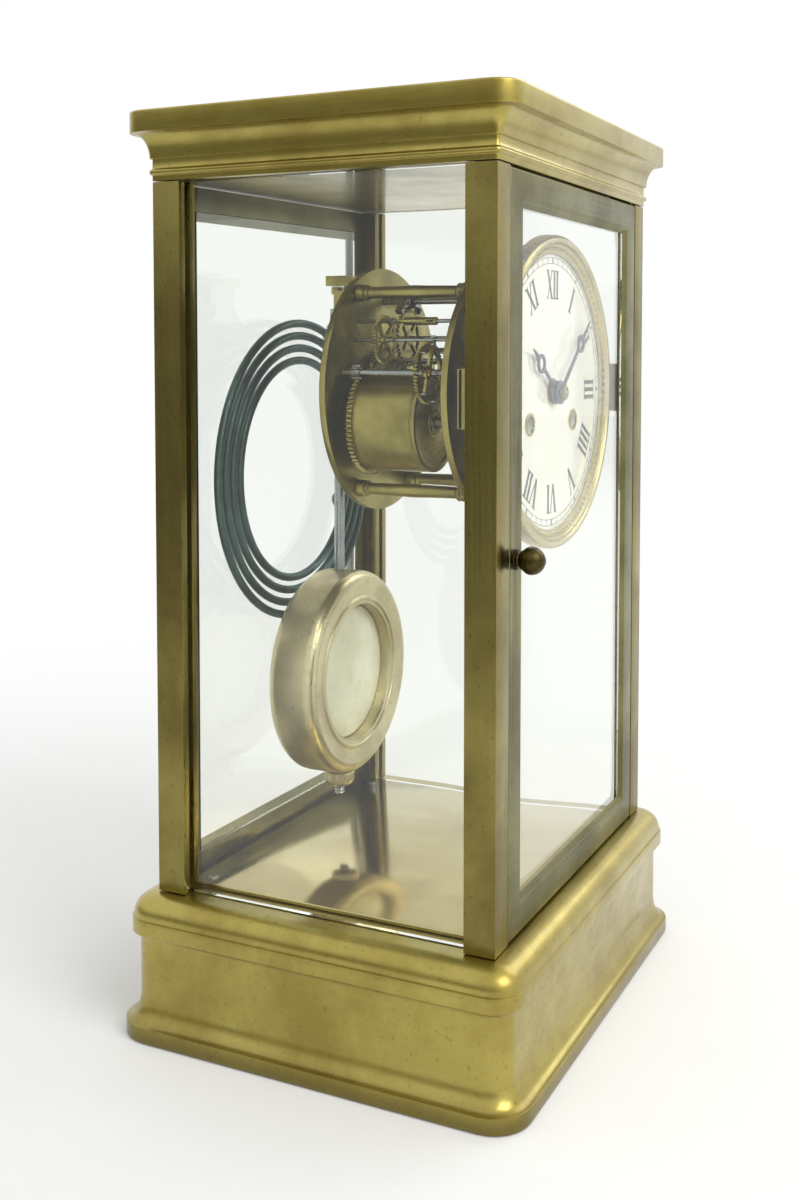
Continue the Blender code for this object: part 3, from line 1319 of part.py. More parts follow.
def hammer():
    """Hammer arbor through the back plate, with an arm and a head just outside the gong."""
    u, v = PLACES["hammer"]
    gong_v = GONG_HEIGHT - MOVEMENT_HEIGHT
    reach = GONG_RADIUS + GONG_WIRE_RADIUS + HAMMER_GAP + HAMMER_HEAD_RADIUS
    du, dv = polar(reach, HAMMER_ANGLE)
    head_u = du - u
    head_v = gong_v + dv - v
    head_front = HAMMER_ARM_Y - HAMMER_HUB_RADIUS
    head = axial(HAMMER_HEAD_RADIUS, head_front, head_front + HAMMER_HEAD_LENGTH, head_u, head_v, sides=12)
    arm = cylinder(HAMMER_ARM_RADIUS, (0, 0, -HAMMER_ARM_Y), (head_u, head_v, -HAMMER_ARM_Y))
    shaft = axial(ARBOR_RADIUS - FINE_GAP, FRONT_PLATE_BACK + GAP, HAMMER_ARM_Y)
    pivot = axial(PIVOT_RADIUS, FRONT_PLATE_Y, FRONT_PLATE_BACK + OVERRUN)
    hub = axial(HAMMER_HUB_RADIUS, head_front, HAMMER_ARM_Y + HAMMER_HUB_RADIUS)
    piece = united([hub, shaft, pivot, arm, head])
    piece.location = (u, 0, MOVEMENT_HEIGHT + v)
    piece.rotation_euler = FRONTWARD
    finished(piece, "hammer", "steel")


def gong_path():
    """Points along the gong's wire, from its outer end at the block to the inner end."""
    count = GONG_TURNS * GONG_TURN_STEPS
    block_half = math.degrees((GONG_BLOCK / 2 + GAP) / GONG_RADIUS)
    points = []
    for step in range(count + 1):
        share = step / count
        radius = GONG_RADIUS + (GONG_INNER_RADIUS - GONG_RADIUS) * share
        angle = GONG_END_ANGLE + block_half + (360.0 * GONG_TURNS - 2 * block_half) * share
        du, dv = polar(radius, angle)
        points.append(Vector((du, GONG_Y, GONG_HEIGHT + dv)))
    return points


def gong():
    """Coiled gong of round wire, and the block and post that hold its outer end."""
    path = gong_path()
    least = min(
        (one - other).length
        for one, other in zip(path, path[GONG_TURN_STEPS:])
    )
    for step, one in enumerate(path):
        for other in path[step + GONG_TURN_STEPS // 2:]:
            least = min(least, (one - other).length)
    print("gong wire's least gap to itself", round(least - 2 * GONG_WIRE_RADIUS, 5))
    curve = bpy.data.curves.new("gong", "CURVE")
    curve.dimensions = "3D"
    curve.bevel_depth = GONG_WIRE_RADIUS
    curve.bevel_resolution = 1
    curve.use_fill_caps = True
    spline = curve.splines.new("POLY")
    spline.points.add(len(path) - 1)
    for point, place in zip(spline.points, path):
        point.co = (*place, 1)
    wire = blank(curve)
    mesh = settled_mesh(wire)
    bpy.data.objects.remove(wire)
    finished(blank(mesh), "gong", "blued_steel")
    seat = GONG_RADIUS + (GONG_BLOCK_OUTWARD - GONG_BLOCK_INWARD) / 2
    u, dv = polar(seat, GONG_END_ANGLE)
    z = GONG_HEIGHT + dv
    half = GONG_BLOCK / 2
    radial = (GONG_BLOCK_OUTWARD + GONG_BLOCK_INWARD) / 2
    block = box((-radial, -half, -half), (radial, half, half))
    block.data.transform(Matrix.Rotation(-math.radians(GONG_END_ANGLE), 4, "Y"))
    block.data.transform(Matrix.Translation((u, GONG_Y, z)))
    post = cylinder(GONG_POST_RADIUS, (u, BACK_PLATE_BACK + GAP, z), (u, GONG_Y, z), 12)
    finished(united([block, post]), "gong_stand", "steel")


# Dial, hands and motion work

def dial_holes(y_front, y_back):
    """Cutters for the hands' pipe and the two winding squares."""
    cutters = [axial(DIAL_CENTRE_HOLE, y_front - OVERRUN, y_back + OVERRUN, sides=16)]
    for name in ("time_barrel", "strike_barrel"):
        u, v = PLACES[name]
        cutters.append(axial(WINDING_HOLE, y_front - OVERRUN, y_back + OVERRUN, u, v, sides=12))
    return cutters


def dial():
    """Enamel dial, and the bezel round it."""
    front = DIAL_FRONT_Y
    back = front + DIAL_THICKNESS
    face = cut(axial(DIAL_RADIUS, front, back, sides=DIAL_SIDES), dial_holes(front, back))
    inner = DIAL_RADIUS + GAP
    lip = DIAL_RADIUS - BEZEL_LIP
    lip_back = -(front - GAP)
    top = lip_back + BEZEL_RISE
    low = -(DIAL_PLATE_FRONT - GAP)
    bezel = turned([
        (lip, lip_back + BEZEL_LIP_EDGE), (lip, lip_back), (inner, lip_back), (inner, low),
        (BEZEL_RADIUS, low), (BEZEL_RADIUS, top - BEZEL_ROUNDING), (BEZEL_CREST, top),
    ], DIAL_SIDES, cyclic=True)
    for piece, name, finish in (
        (face, "dial", "enamel"), (dial_back_plate(), "dial_back_plate", "brass"),
        (bezel, "dial_bezel", "brass"),
    ):
        piece.location = (0, 0, MOVEMENT_HEIGHT)
        piece.rotation_euler = FRONTWARD
        finished(piece, name, finish)


def dial_back_plate():
    """Plate behind the dial, with pillars to the movement and an ear against each front post."""
    front = DIAL_PLATE_FRONT
    back = DIAL_PLATE_BACK
    half = EAR_HEIGHT / 2
    ear_end = HALF_WIDTH - PANE_INSET - PANE_THICKNESS - GAP
    post_back = -(HALF_DEPTH - POST_SIDE - GAP)
    disc = axial(DIAL_PLATE_RADIUS, front, back, sides=DIAL_SIDES)
    strap = box((-ear_end, -half, -back), (ear_end, half, -front))
    pads = [
        box((min(a, b), -half, -front - PLATE_BITE), (max(a, b), half, -post_back))
        for a, b in ((ear_end - EAR_PAD, ear_end), (EAR_PAD - ear_end, -ear_end))
    ]
    pillar_bars = []
    for angle in DIAL_PILLAR_ANGLES:
        u, v = polar(DIAL_PILLAR_RING, angle)
        pillar_bars.append(axial(DIAL_PILLAR_RADIUS, back - PLATE_BITE, FRONT_PLATE_Y - GAP, u, v))
    return cut(united([disc, strap] + pads + pillar_bars), dial_holes(front, back))


def motion_work():
    """Cannon pinion, minute wheel and hour wheel, which gear the hands twelve to one."""
    to_minute = heading_between("centre", "minute")
    from_minute = heading_between("minute", "centre")
    hour_module = MINUTE_MODULE * (CANNON_LEAVES + MINUTE_TEETH) / (MINUTE_LEAVES + HOUR_TEETH)
    extra = (MOTION_PINION_THICKNESS - MOTION_THICKNESS) / 2
    cannon = united([
        axial(CANNON_RADIUS, CANNON_FRONT_Y, MINUTE_WHEEL_Y + MOTION_PINION_THICKNESS, sides=12),
        gear(CANNON_LEAVES, MINUTE_MODULE, to_minute, MINUTE_WHEEL_Y - extra, MOTION_PINION_THICKNESS,
             gap_there=True),
    ])
    cannon = cut(cannon, [axial(CANNON_BORE, CANNON_FRONT_Y - OVERRUN, FRONT_PLATE_BACK, sides=12)])
    stud = FRONT_PLATE_Y - GAP
    minute = united([
        gear(MINUTE_TEETH, MINUTE_MODULE, from_minute, MINUTE_WHEEL_Y, MOTION_THICKNESS),
        gear(MINUTE_LEAVES, hour_module, from_minute, HOUR_WHEEL_Y - extra, MOTION_PINION_THICKNESS,
             gap_there=True),
        axial(ARBOR_RADIUS, HOUR_WHEEL_Y - MOTION_PINION_THICKNESS, stud),
    ])
    hour = united([
        gear(HOUR_TEETH, hour_module, to_minute, HOUR_WHEEL_Y, MOTION_THICKNESS),
        axial(HOUR_PIPE_RADIUS, HOUR_PIPE_FRONT_Y, HOUR_WHEEL_Y + MOTION_THICKNESS / 2, sides=16),
    ])
    hour = cut(hour, [axial(
        HOUR_PIPE_BORE, HOUR_PIPE_FRONT_Y - OVERRUN, HOUR_WHEEL_Y + MOTION_THICKNESS + OVERRUN, sides=16
    )])
    for piece, name, place in (
        (cannon, "cannon_pinion", "centre"), (minute, "minute_wheel", "minute"), (hour, "hour_wheel", "centre")
    ):
        u, v = PLACES[place]
        piece.location = (u, 0, MOVEMENT_HEIGHT + v)
        piece.rotation_euler = FRONTWARD
        finished(piece, name, "brass")


def hand(name, length, y_front, bore, angle):
    """A blued hand pointing at this heading: hub, tapering shaft, open eye and point."""
    eye = length * HAND_EYE_SHARE
    half = HAND_TAIL_WIDTH / 2
    y_back = y_front + HAND_THICKNESS
    hub = axial(HAND_HUB_RADIUS, y_front, y_back, sides=16)
    shaft = slab([[(0, half), (0, -half), (eye, -half), (eye, half)]], y_front, y_back)
    ring = axial(HAND_EYE_RADIUS, y_front, y_back, eye, 0, sides=16)
    point = slab([[(eye, half * 2), (eye, -half * 2), (length, 0)]], y_front, y_back)
    piece = united([hub, shaft, ring, point])
    piece = cut(piece, [
        axial(bore, y_front - OVERRUN, y_back + OVERRUN, sides=16),
        axial(HAND_EYE_HOLE, y_front - OVERRUN, y_back + OVERRUN, eye, 0, sides=12),
    ])
    piece.data.transform(Matrix.Rotation(math.radians(angle), 4, "Z"))
    piece.location = (0, 0, MOVEMENT_HEIGHT)
    piece.rotation_euler = FRONTWARD
    finished(piece, name, "blued_steel")


def hands():
    """Hour and minute hands on their pipes, with the small nut that keeps them on."""
    hand("hour_hand", HOUR_HAND_LENGTH, HOUR_HAND_Y, HOUR_PIPE_RADIUS + GAP, 90.0 - HOUR_HAND_ANGLE)
    hand("minute_hand", MINUTE_HAND_LENGTH, MINUTE_HAND_Y, CANNON_RADIUS + GAP, 90.0 - MINUTE_HAND_ANGLE)
    back = CANNON_FRONT_Y - GAP
    nut = axial(HAND_NUT_RADIUS, back - HAND_NUT_THICKNESS, back, sides=12)
    nut = cut(nut, [axial(CANNON_BORE, CENTRE_FRONT_Y - OVERRUN, back + OVERRUN)])
    nut.location = (0, 0, MOVEMENT_HEIGHT)
    nut.rotation_euler = FRONTWARD
    finished(nut, "hand_nut", "brass")


def main():
    base_moulding()
    cornice()
    posts()
    post_screws()
    floor_plate()
    side_panes()
    door("front", 1)
    door("back", -1)
    plates()
    barrel("time", 1, "intermediate")
    barrel("strike", -1, "pin_wheel")
    going_train()
    pallet_anchor()
    back_cock()
    suspension_spring()
    pendulum()
    striking_train()
    hammer()
    gong()
    dial()
    motion_work()
    hands()


main()
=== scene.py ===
"""Looks of a crystal regulator clock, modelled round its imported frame.

Shapes are worked in millimetres in the clock's own frame, +Z up with the dial facing -Y,
and come to metres when their piece is made. A place in the movement is (x, z).
"""

import json
import math

import bmesh
import bpy
from bpy.props import FloatProperty, FloatVectorProperty, IntProperty, PointerProperty
from mathutils import Matrix, Vector


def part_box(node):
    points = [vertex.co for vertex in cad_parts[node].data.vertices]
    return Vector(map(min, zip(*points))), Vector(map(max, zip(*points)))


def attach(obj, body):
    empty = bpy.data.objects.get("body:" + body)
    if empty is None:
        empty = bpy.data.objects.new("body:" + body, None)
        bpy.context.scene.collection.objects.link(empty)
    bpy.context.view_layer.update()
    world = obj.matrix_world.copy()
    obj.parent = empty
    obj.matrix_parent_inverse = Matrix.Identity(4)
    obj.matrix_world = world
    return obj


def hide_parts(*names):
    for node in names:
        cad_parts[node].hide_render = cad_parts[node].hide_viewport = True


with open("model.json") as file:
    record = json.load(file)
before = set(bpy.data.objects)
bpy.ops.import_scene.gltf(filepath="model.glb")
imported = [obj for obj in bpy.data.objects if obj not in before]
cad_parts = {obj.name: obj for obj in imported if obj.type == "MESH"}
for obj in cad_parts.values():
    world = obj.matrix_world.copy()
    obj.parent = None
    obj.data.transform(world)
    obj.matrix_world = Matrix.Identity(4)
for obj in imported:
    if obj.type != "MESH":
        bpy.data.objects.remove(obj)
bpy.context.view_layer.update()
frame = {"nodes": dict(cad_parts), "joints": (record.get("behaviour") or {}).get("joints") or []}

bl_info = {
    "name": "Crystal Regulator Clock",
    "version": (1, 0, 0),
    "blender": (4, 5, 0),
    "location": "3D View > Sidebar > Regulator",
    "description": "Dresses the packed frame of a crystal regulator clock in its finished pieces",
    "category": "Object",
}

MM = 0.001
MERGE = 0.0002
SHARP = math.radians(32)
CORNERS = ("front_left", "front_right", "back_left", "back_right")


def mm(metres):
    """A length in millimetres."""
    return metres / MM


def cad_box(node):
    """A CAD node's lowest and highest corners in millimetres."""
    return [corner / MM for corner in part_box(node)]


def to_linear(code):
    """The linear colour of an sRGB hex value."""
    parts = [int(code[i:i + 2], 16) / 255 for i in (1, 3, 5)]
    return tuple(c / 12.92 if c <= 0.04045 else ((c + 0.055) / 1.055) ** 2.4 for c in parts)


# Where each moving body turns, from the frame's joints: (x, z) in the movement
PLACES = {
    joint["child"]: (mm(joint["pos_m"][0]), mm(joint["pos_m"][2])) for joint in frame["joints"]
}
MOVEMENT = PLACES["minute_hand"]
PENDULUM_Y = mm(next(j["pos_m"][1] for j in frame["joints"] if j["child"] == "pendulum"))
BOB_PLACE = (0.0, 97.5)
GONG_PLACE = (0.0, 161.5)
GONG_Y = 43.0
# Headings of the gong's block and of the hammer's head from the middle of the gong
GONG_BLOCK_HEADING = 60.0
HAMMER_HEADING = 40.0

HALF_WIDTH, HALF_DEPTH = cad_box("post_back_right")[1].xy
BASE_TOP = cad_box("base_moulding")[1].z
POST_TOP, CASE_TOP = [corner.z for corner in cad_box("cornice")]

# Along Y: outer and inner faces of the movement's plates, faces of the dial and of its plate
FRONT_PLATE = (-27.0, -25.0)
BACK_PLATE = (14.0, 12.0)
DIAL_FACE, DIAL_BACK = -43.2, -41.8
CARRIER_FACE, CARRIER_BACK = -41.5, -40.0
# The movement's pillars: how far they stand from the middle, and their headings
PILLAR_REACH = 34.5
PILLAR_HEADINGS = (60, 120, 240, 300)
# Radii of the holes for the hands and the winding squares, in the dial and its plate
HANDS_HOLE, WINDING_HOLE = 3.6, 2.9
HAND_THICKNESS = 0.6
# Inner radius of a crossed wheel's rim, as a share of the radius at its teeth's roots
RIM_SHARE = 0.83

# The dim room that only polished metal mirrors: its colour, and which way it lies
ROOM_COLOUR = (0.25, 0.245, 0.22, 1)
ROOM_WAY = (-0.92, 0.39, 0.0)


# Sizes and colours

def length(name, description, default_mm):
    """A length property, its default given in millimetres."""
    return FloatProperty(
        name=name, description=description, default=default_mm * MM, min=0.0, precision=5,
        subtype="DISTANCE", unit="LENGTH",
    )


def colour(name, description, code):
    """A colour property, its default given as an sRGB hex value."""
    return FloatVectorProperty(
        name=name, description=description, default=to_linear(code), size=3, min=0.0, max=1.0,
        subtype="COLOR",
    )


def aged(name, code):
    """The colour property of a finish's aged tone."""
    return colour(name + ", aged", "The same material where it is aged", code)


def angle(name, description, degrees):
    """An angle property, its default given in degrees."""
    return FloatProperty(
        name=name, description=description, default=math.radians(degrees), subtype="ANGLE",
    )


class RegulatorCase(bpy.types.PropertyGroup):
    """Sizes of the case's mouldings, posts and doors."""

    foot_out: length("Foot", "How far the base's foot stands out from the posts", 10.3)
    waist_out: length("Waist", "How far the base's waist stands out from the posts", 5.8)
    torus_out: length("Torus", "How far the base's upper member stands out", 8.2)
    crown_out: length("Crown", "How far the cornice stands out from the posts", 6.8)
    corner: length("Corner", "Radius of the case's corners in plan", 0.8)
    arris: length("Arris", "Softness of the mouldings' edges", 0.22)
    post_arris: length("Post arris", "Softness of the posts' and doors' edges", 0.35)
    knob_radius: length("Knob", "Radius of a door's latch knob", 3.8)
    door_rail: length("Door rail", "Width of the doors' rails and stiles", 10.0)
    bevel_width: length("Glass bevel", "Width of the bevel round each pane", 8.0)
    bevel_depth: length("Glass bevel depth", "How much the bevel thins a pane's edge", 0.5)


class RegulatorMovement(bpy.types.PropertyGroup):
    """Sizes in the movement, its dial and hands."""

    plate_radius: length("Plate", "Radius of the movement's round plates", 38.0)
    edge: length("Edge", "Softness of the plates' edges", 0.22)
    oil_sink: length("Oil sink", "Radius of the oil sink round each pivot", 1.15)
    dial_radius: length("Dial", "Radius of the enamel dial", 43.6)
    numeral_height: length("Numerals", "Height of the hour numerals", 8.6)
    numeral_radius: length("Hour ring", "Radius of the middle of the hour numerals", 32.2)
    minute_radius: length("Minute ring", "Radius of the middle of the minute track", 39.4)
    pearls: IntProperty(
        name="Pearls", description="Number of pearls round the bezel", default=108, min=12, max=200,
    )


class RegulatorPendulum(bpy.types.PropertyGroup):
    """Sizes of the pendulum and the gong."""

    bob_radius: length("Bob", "Radius of the pendulum's ring bob", 32.5)
    bob_eye: length("Bob eye", "Inner radius of the ring bob", 21.5)
    bob_thickness: length("Bob thickness", "Thickness of the ring bob", 16.0)
    rod_radius: length("Rod", "Radius of the pendulum rod", 1.6)
    gong_outer: length("Gong", "Radius of the gong's outer turn", 48.8)
    gong_inner: length("Gong inside", "Radius of the gong's inner end", 32.8)
    gong_wire: length("Gong wire", "Radius of the gong's wire", 1.3)
    gong_turns: IntProperty(
        name="Gong turns", description="Number of turns of the gong", default=4, min=1, max=8,
    )


class RegulatorFinishes(bpy.types.PropertyGroup):
    """Colours of the finishes, most with a clean and an aged tone of the same material."""

    case_brass: colour("Case brass", "Lacquered cast brass of the mouldings", "#afa04f")
    case_brass_aged: aged("Case brass", "#99883b")
    post_brass: colour("Post brass", "Drawn brass of the posts", "#8f844b")
    post_brass_aged: aged("Post brass", "#766a3a")
    door_brass: colour("Door brass", "Drawn brass of the doors, greyer than the posts", "#7d7a52")
    door_brass_aged: aged("Door brass", "#636040")
    floor_brass: colour("Floor brass", "Mirror-polished brass of the floor plate", "#c4b684")
    floor_brass_aged: aged("Floor brass", "#b3a06d")
    bezel_brass: colour("Bezel brass", "Spun and polished brass of the bezel", "#cdbf83")
    bezel_brass_aged: aged("Bezel brass", "#b3a567")
    movement_brass: colour("Movement brass", "Straight-grained brass of the movement", "#a89c5c")
    movement_brass_aged: aged("Movement brass", "#8d8248")
    bob_brass: colour("Bob brass", "Turned brass of the pendulum bob", "#d3c89f")
    bob_brass_aged: aged("Bob brass", "#bdb28b")
    silvered: colour("Silvering", "Silvered centre of the bob", "#f3f0d6")
    silvered_aged: aged("Silvering", "#eae6c6")
    knob: colour("Knob", "Browned brass of the latch knobs", "#4f4526")
    steel: colour("Steel", "Polished steel of arbors and screws", "#a2a6a5")
    steel_aged: aged("Steel", "#979b9b")
    blued: colour("Blued steel", "Heat-blued steel of the hands and small screws", "#22386f")
    gong: colour("Gong", "Oil-blackened steel of the gong", "#4a6360")
    enamel: colour("Enamel", "Fired white enamel of the dial", "#f7f4e9")
    ink: colour("Numerals", "Fired black of the numerals", "#17161a")
    glass: colour("Glass", "Tint of the plate glass", "#fcfefb")


class RegulatorStage(bpy.types.PropertyGroup):
    """The camera's place, the lamps and the floor."""

    camera: FloatVectorProperty(
        name="Camera", description="Where the camera stands", size=3, subtype="XYZ",
        unit="LENGTH", default=(-0.3934, -0.1855, 0.2025),
    )
    heading: angle("Heading", "Which way the camera looks, from +Y towards +X", 64.0)
    tilt: angle("Tilt", "How far the camera looks up", -3.0)
    lens: FloatProperty(
        name="Lens", description="Focal length in millimetres", default=41.2, min=5.0, max=200.0,
        subtype="DISTANCE_CAMERA", unit="CAMERA",
    )
    shift: FloatProperty(
        name="Shift", description="Upward shift of the view, in picture heights", default=-0.150,
    )
    floor: colour("Floor", "Colour of the table top", "#f4f4f2")
    backdrop: colour("Backdrop", "Colour of the backdrop", "#ffffff")


# Shapes, each a bmesh in millimetres. A face that an edge was softened into has material 1,
# which the finished piece keeps as the attribute worn_edge.

def around(place, reach, heading):
    """The place that far from another, at a heading in degrees."""
    angle = math.radians(heading)
    return place[0] + reach * math.cos(angle), place[1] + reach * math.sin(angle)


def toward(start, end):
    """The heading in degrees from one place in the movement to another."""
    return math.degrees(math.atan2(end[1] - start[1], end[0] - start[0]))


def arc(centre, radii, start, end, steps):
    """Points along an ellipse's arc, both ends included, with angles in degrees."""
    angles = [math.radians(start + (end - start) * step / steps) for step in range(steps + 1)]
    return [(centre[0] + radii[0] * math.cos(a), centre[1] + radii[1] * math.sin(a)) for a in angles]


def eased(points, reach, closed=False):
    """The outline with each sharp corner rounded by three points."""
    smooth = []
    # No rounding takes up more of a side than this, so two of them never meet
    most = 0.45
    for number, point in enumerate(points):
        here = Vector(point)
        before = Vector(points[number - 1]) - here
        after = Vector(points[(number + 1) % len(points)]) - here
        kept = not closed and number in (0, len(points) - 1)
        if kept or min(before.length, after.length) < MERGE or math.pi - before.angle(after) < SHARP:
            smooth.append(here)
            continue
        near = here + before.normalized() * min(reach, before.length * most)
        far = here + after.normalized() * min(reach, after.length * most)
        smooth += [near, (near + far) / 4 + here / 2, far]
    return [tuple(point) for point in smooth]


def new_object(name, data):
    """A new object in the scene."""
    made = bpy.data.objects.new(name, data)
    bpy.context.scene.collection.objects.link(made)
    return made


def new_mesh(name, shape):
    """A mesh made from a shape, which is used up."""
    mesh = bpy.data.meshes.new(name)
    shape.to_mesh(mesh)
    shape.free()
    return mesh


def evaluated(obj):
    """The shape that an object has in the scene."""
    result = bmesh.new()
    seen = obj.evaluated_get(bpy.context.evaluated_depsgraph_get())
    result.from_mesh(seen.to_mesh())
    seen.to_mesh_clear()
    return result


def together(shapes):
    """Several shapes as one."""
    whole = bmesh.new()
    for shape in shapes:
        mesh = new_mesh("shape", shape)
        whole.from_mesh(mesh)
        bpy.data.meshes.remove(mesh)
    return whole


def moved(shape, matrix):
    """The shape put in another place."""
    bmesh.ops.transform(shape, matrix=matrix, verts=shape.verts)
    return shape


def stood(shape, place, facing, turn):
    """A shape that stands on Z, turned about it, put at a place in space and facing some way."""
    way = Vector(facing).to_track_quat("Z", "Y").to_matrix().to_4x4()
    return moved(shape, Matrix.Translation(place) @ way @ Matrix.Rotation(math.radians(turn), 4, "Z"))


def closed_up(shape, smooth=True):
    """The shape with its doubles merged and its faces turned outward."""
    bmesh.ops.remove_doubles(shape, verts=shape.verts, dist=MERGE)
    bmesh.ops.recalc_face_normals(shape, faces=shape.faces)
    for face in shape.faces:
        face.smooth = smooth
    return shape


def softened(shape, reach, segments=2, least=25.0):
    """Every edge sharper than the least angle is rounded, and its new faces are marked as worn."""
    edges = [
        edge for edge in shape.edges
        if len(edge.link_faces) == 2 and edge.calc_face_angle(0) > math.radians(least)
    ]
    made = bmesh.ops.bevel(
        shape, geom=edges, offset=reach, offset_type="OFFSET", segments=segments, profile=0.5,
        affect="EDGES", clamp_overlap=True, material=-1,
    )
    for face in made["faces"]:
        face.smooth = True
        face.material_index = 1
    return shape


def thickened(shape, step):
    """The flat shape's faces drawn out into a solid."""
    grown = bmesh.ops.extrude_face_region(shape, geom=shape.faces[:])["geom"]
    fresh = [item for item in grown if isinstance(item, bmesh.types.BMVert)]
    bmesh.ops.translate(shape, vec=step, verts=fresh)
    return closed_up(shape, smooth=False)


def drawn_out(shape, edges):
    """The new verts that extruding some edges makes, and the new edges between them."""
    grown = bmesh.ops.extrude_edge_only(shape, edges=edges)["geom"]
    verts = {item for item in grown if isinstance(item, bmesh.types.BMVert)}
    ends = [item for item in grown if isinstance(item, bmesh.types.BMEdge) and set(item.verts) <= verts]
    return verts, ends


def turned(profile, place=(0, 0), axis="Y", steps=64, reach=0.0):
    """A shape turned from points of (radius, height along the axis), at a place across it.

    An outline that starts on the axis also ends there, and any other one is closed to a ring.
    """
    closed = profile[0][0] > 0
    along = Vector((0, axis == "Y", axis == "Z"))
    centre = Vector((place[0], 0, place[1]) if axis == "Y" else (*place, 0))
    out = Vector((1, 0, 0))
    shape = bmesh.new()
    points = eased(profile, reach, closed) if reach else profile
    line = [shape.verts.new(centre + out * radius + along * height) for radius, height in points]
    ends = line[1:] + line[:1] if closed else line[1:]
    edges = [shape.edges.new(pair) for pair in zip(line, ends)]
    bmesh.ops.spin(
        shape, geom=line + edges, cent=centre, axis=along, dvec=(0, 0, 0), angle=math.tau,
        steps=steps, use_merge=True, use_duplicate=False,
    )
    return closed_up(shape)


def ring(place, inner, outer, start, end, steps=32, reach=0.0, axis="Y"):
    """A turned ring, or a disc where the inner radius is 0, from start to end along the axis."""
    points = [(inner, start), (outer, start), (outer, end), (inner, end)]
    return turned(points, place, axis, steps, reach)


def frame_copy(node, reach, segments=2):
    """A CAD node's own shape in millimetres, merged and with softened edges."""
    shape = bmesh.new()
    shape.from_mesh(frame["nodes"][node].data)
    bmesh.ops.scale(shape, vec=(1 / MM, 1 / MM, 1 / MM), verts=shape.verts)
    bmesh.ops.remove_doubles(shape, verts=shape.verts, dist=MERGE * 5)
    bmesh.ops.dissolve_limit(
        shape, angle_limit=math.radians(0.6), verts=shape.verts, edges=shape.edges,
    )
    for face in shape.faces:
        face.smooth = False
        face.material_index = 0
    return softened(shape, reach, segments)


def box(low, high):
    """A sharp box between two corners."""
    low, high = Vector(low), Vector(high)
    shape = bmesh.new()
    bmesh.ops.create_cube(shape, size=1.0)
    bmesh.ops.scale(shape, vec=high - low, verts=shape.verts)
    bmesh.ops.translate(shape, vec=(high + low) / 2, verts=shape.verts)
    return shape


def block(low, high, reach, segments=2):
    """A box between two corners with rounded edges."""
    return softened(box(low, high), reach, segments)


def plate(outline, start, thickness, reach=0.0, place=(0, 0), heading=0.0):
    """A flat plate along Y, its outline turned to a heading in degrees about a place."""
    turn = Matrix.Rotation(math.radians(heading), 2)
    shape = bmesh.new()
    spots = [Vector(place) + turn @ Vector(point) for point in outline]
    shape.faces.new([shape.verts.new((spot.x, start, spot.y)) for spot in spots])
    thickened(shape, (0, thickness, 0))
    return softened(shape, reach) if reach else shape


def spoke(place, heading, near, far, wide, slim, start, thickness, reach=0.0):
    """A tapering bar that points away from a place, given by its half widths."""
    outline = [(near, wide), (near, -wide), (far, -slim), (far, slim)]
    return plate(outline, start, thickness, reach, place, heading)


def rod(start, end, radius, steps, reach=0.0):
    """A round rod from start to end."""
    start, end = Vector(start), Vector(end)
    way = (end - start).to_track_quat("Z", "Y").to_matrix().to_4x4()
    shape = bmesh.new()
    bmesh.ops.create_cone(
        shape, cap_ends=True, segments=steps, radius1=radius, radius2=radius,
        depth=(end - start).length, matrix=Matrix.Translation((start + end) / 2) @ way,
    )
    for face in shape.faces:
        face.smooth = len(face.verts) == 4
    return softened(shape, reach, least=60.0) if reach else shape


def moulded(profile, corner, arris):
    """The case's outline swept through (outset, height) members, capped at both ends."""
    steps = 6
    least = 0.05

    def spot(number, out, height):
        quarter, step = divmod(number, steps + 1)
        away = math.radians(90 * quarter + 90 * step / steps)
        turn = math.radians(45 + 90 * quarter)
        radius = max(corner + out, least)
        inward = corner + out - radius
        middle = Vector((
            math.copysign(HALF_WIDTH - corner + inward, math.cos(turn)),
            math.copysign(HALF_DEPTH - corner + inward, math.sin(turn)), height,
        ))
        return middle + Vector((math.cos(away), math.sin(away), 0)) * radius

    members = eased(profile, arris)
    shape = bmesh.new()
    number = shape.verts.layers.int.new("number")
    bmesh.ops.create_circle(shape, cap_ends=False, segments=4 * (steps + 1), radius=1.0)
    for index, vert in enumerate(shape.verts):
        vert[number] = index
        vert.co = spot(index, *members[0])
    loop = list(shape.edges)
    bmesh.ops.edgeloop_fill(shape, edges=loop)
    for out, height in members[1:]:
        verts, loop = drawn_out(shape, loop)
        for vert in verts:
            vert.co = spot(vert[number], out, height)
    bmesh.ops.edgeloop_fill(shape, edges=loop)
    return closed_up(shape)


def screw(place, facing, radius, height, turn):
    """A cheese-headed screw at a place in space, its slot turned by some degrees."""
    steps = 28
    slot, floor = radius * 0.17, height * 0.5
    shapes = [ring((0, 0), 0, radius, 0, floor, steps, 0.05, "Z")]
    for side in (1, -1):
        half = bmesh.new()
        bmesh.ops.create_circle(
            half, cap_ends=True, segments=steps, radius=radius, matrix=Matrix.Translation((0, 0, floor)),
        )
        bmesh.ops.bisect_plane(
            half, geom=half.verts[:] + half.edges[:] + half.faces[:],
            plane_co=(0, side * slot, 0), plane_no=(0, side, 0), clear_inner=True,
        )
        thickened(half, (0, 0, height - floor))
        shapes.append(softened(half, radius * 0.1, least=40.0))
    return stood(together(shapes), place, facing, turn)


def hexagon(place, facing, radius, height, turn=0.0):
    """A bevelled hexagonal head or nut at a place in space, with a turned face."""
    shape = bmesh.new()
    bmesh.ops.create_cone(
        shape, cap_ends=True, segments=6, radius1=radius, radius2=radius, depth=height,
        matrix=Matrix.Translation((0, 0, height / 2)),
    )
    softened(shape, radius * 0.09)
    low, high = height * 0.98, height * 1.06
    face = turned([(0, low), (radius * 0.80, low), (radius * 0.72, high), (0, high)], axis="Z", steps=32)
    return stood(together([shape, face]), place, facing, turn)


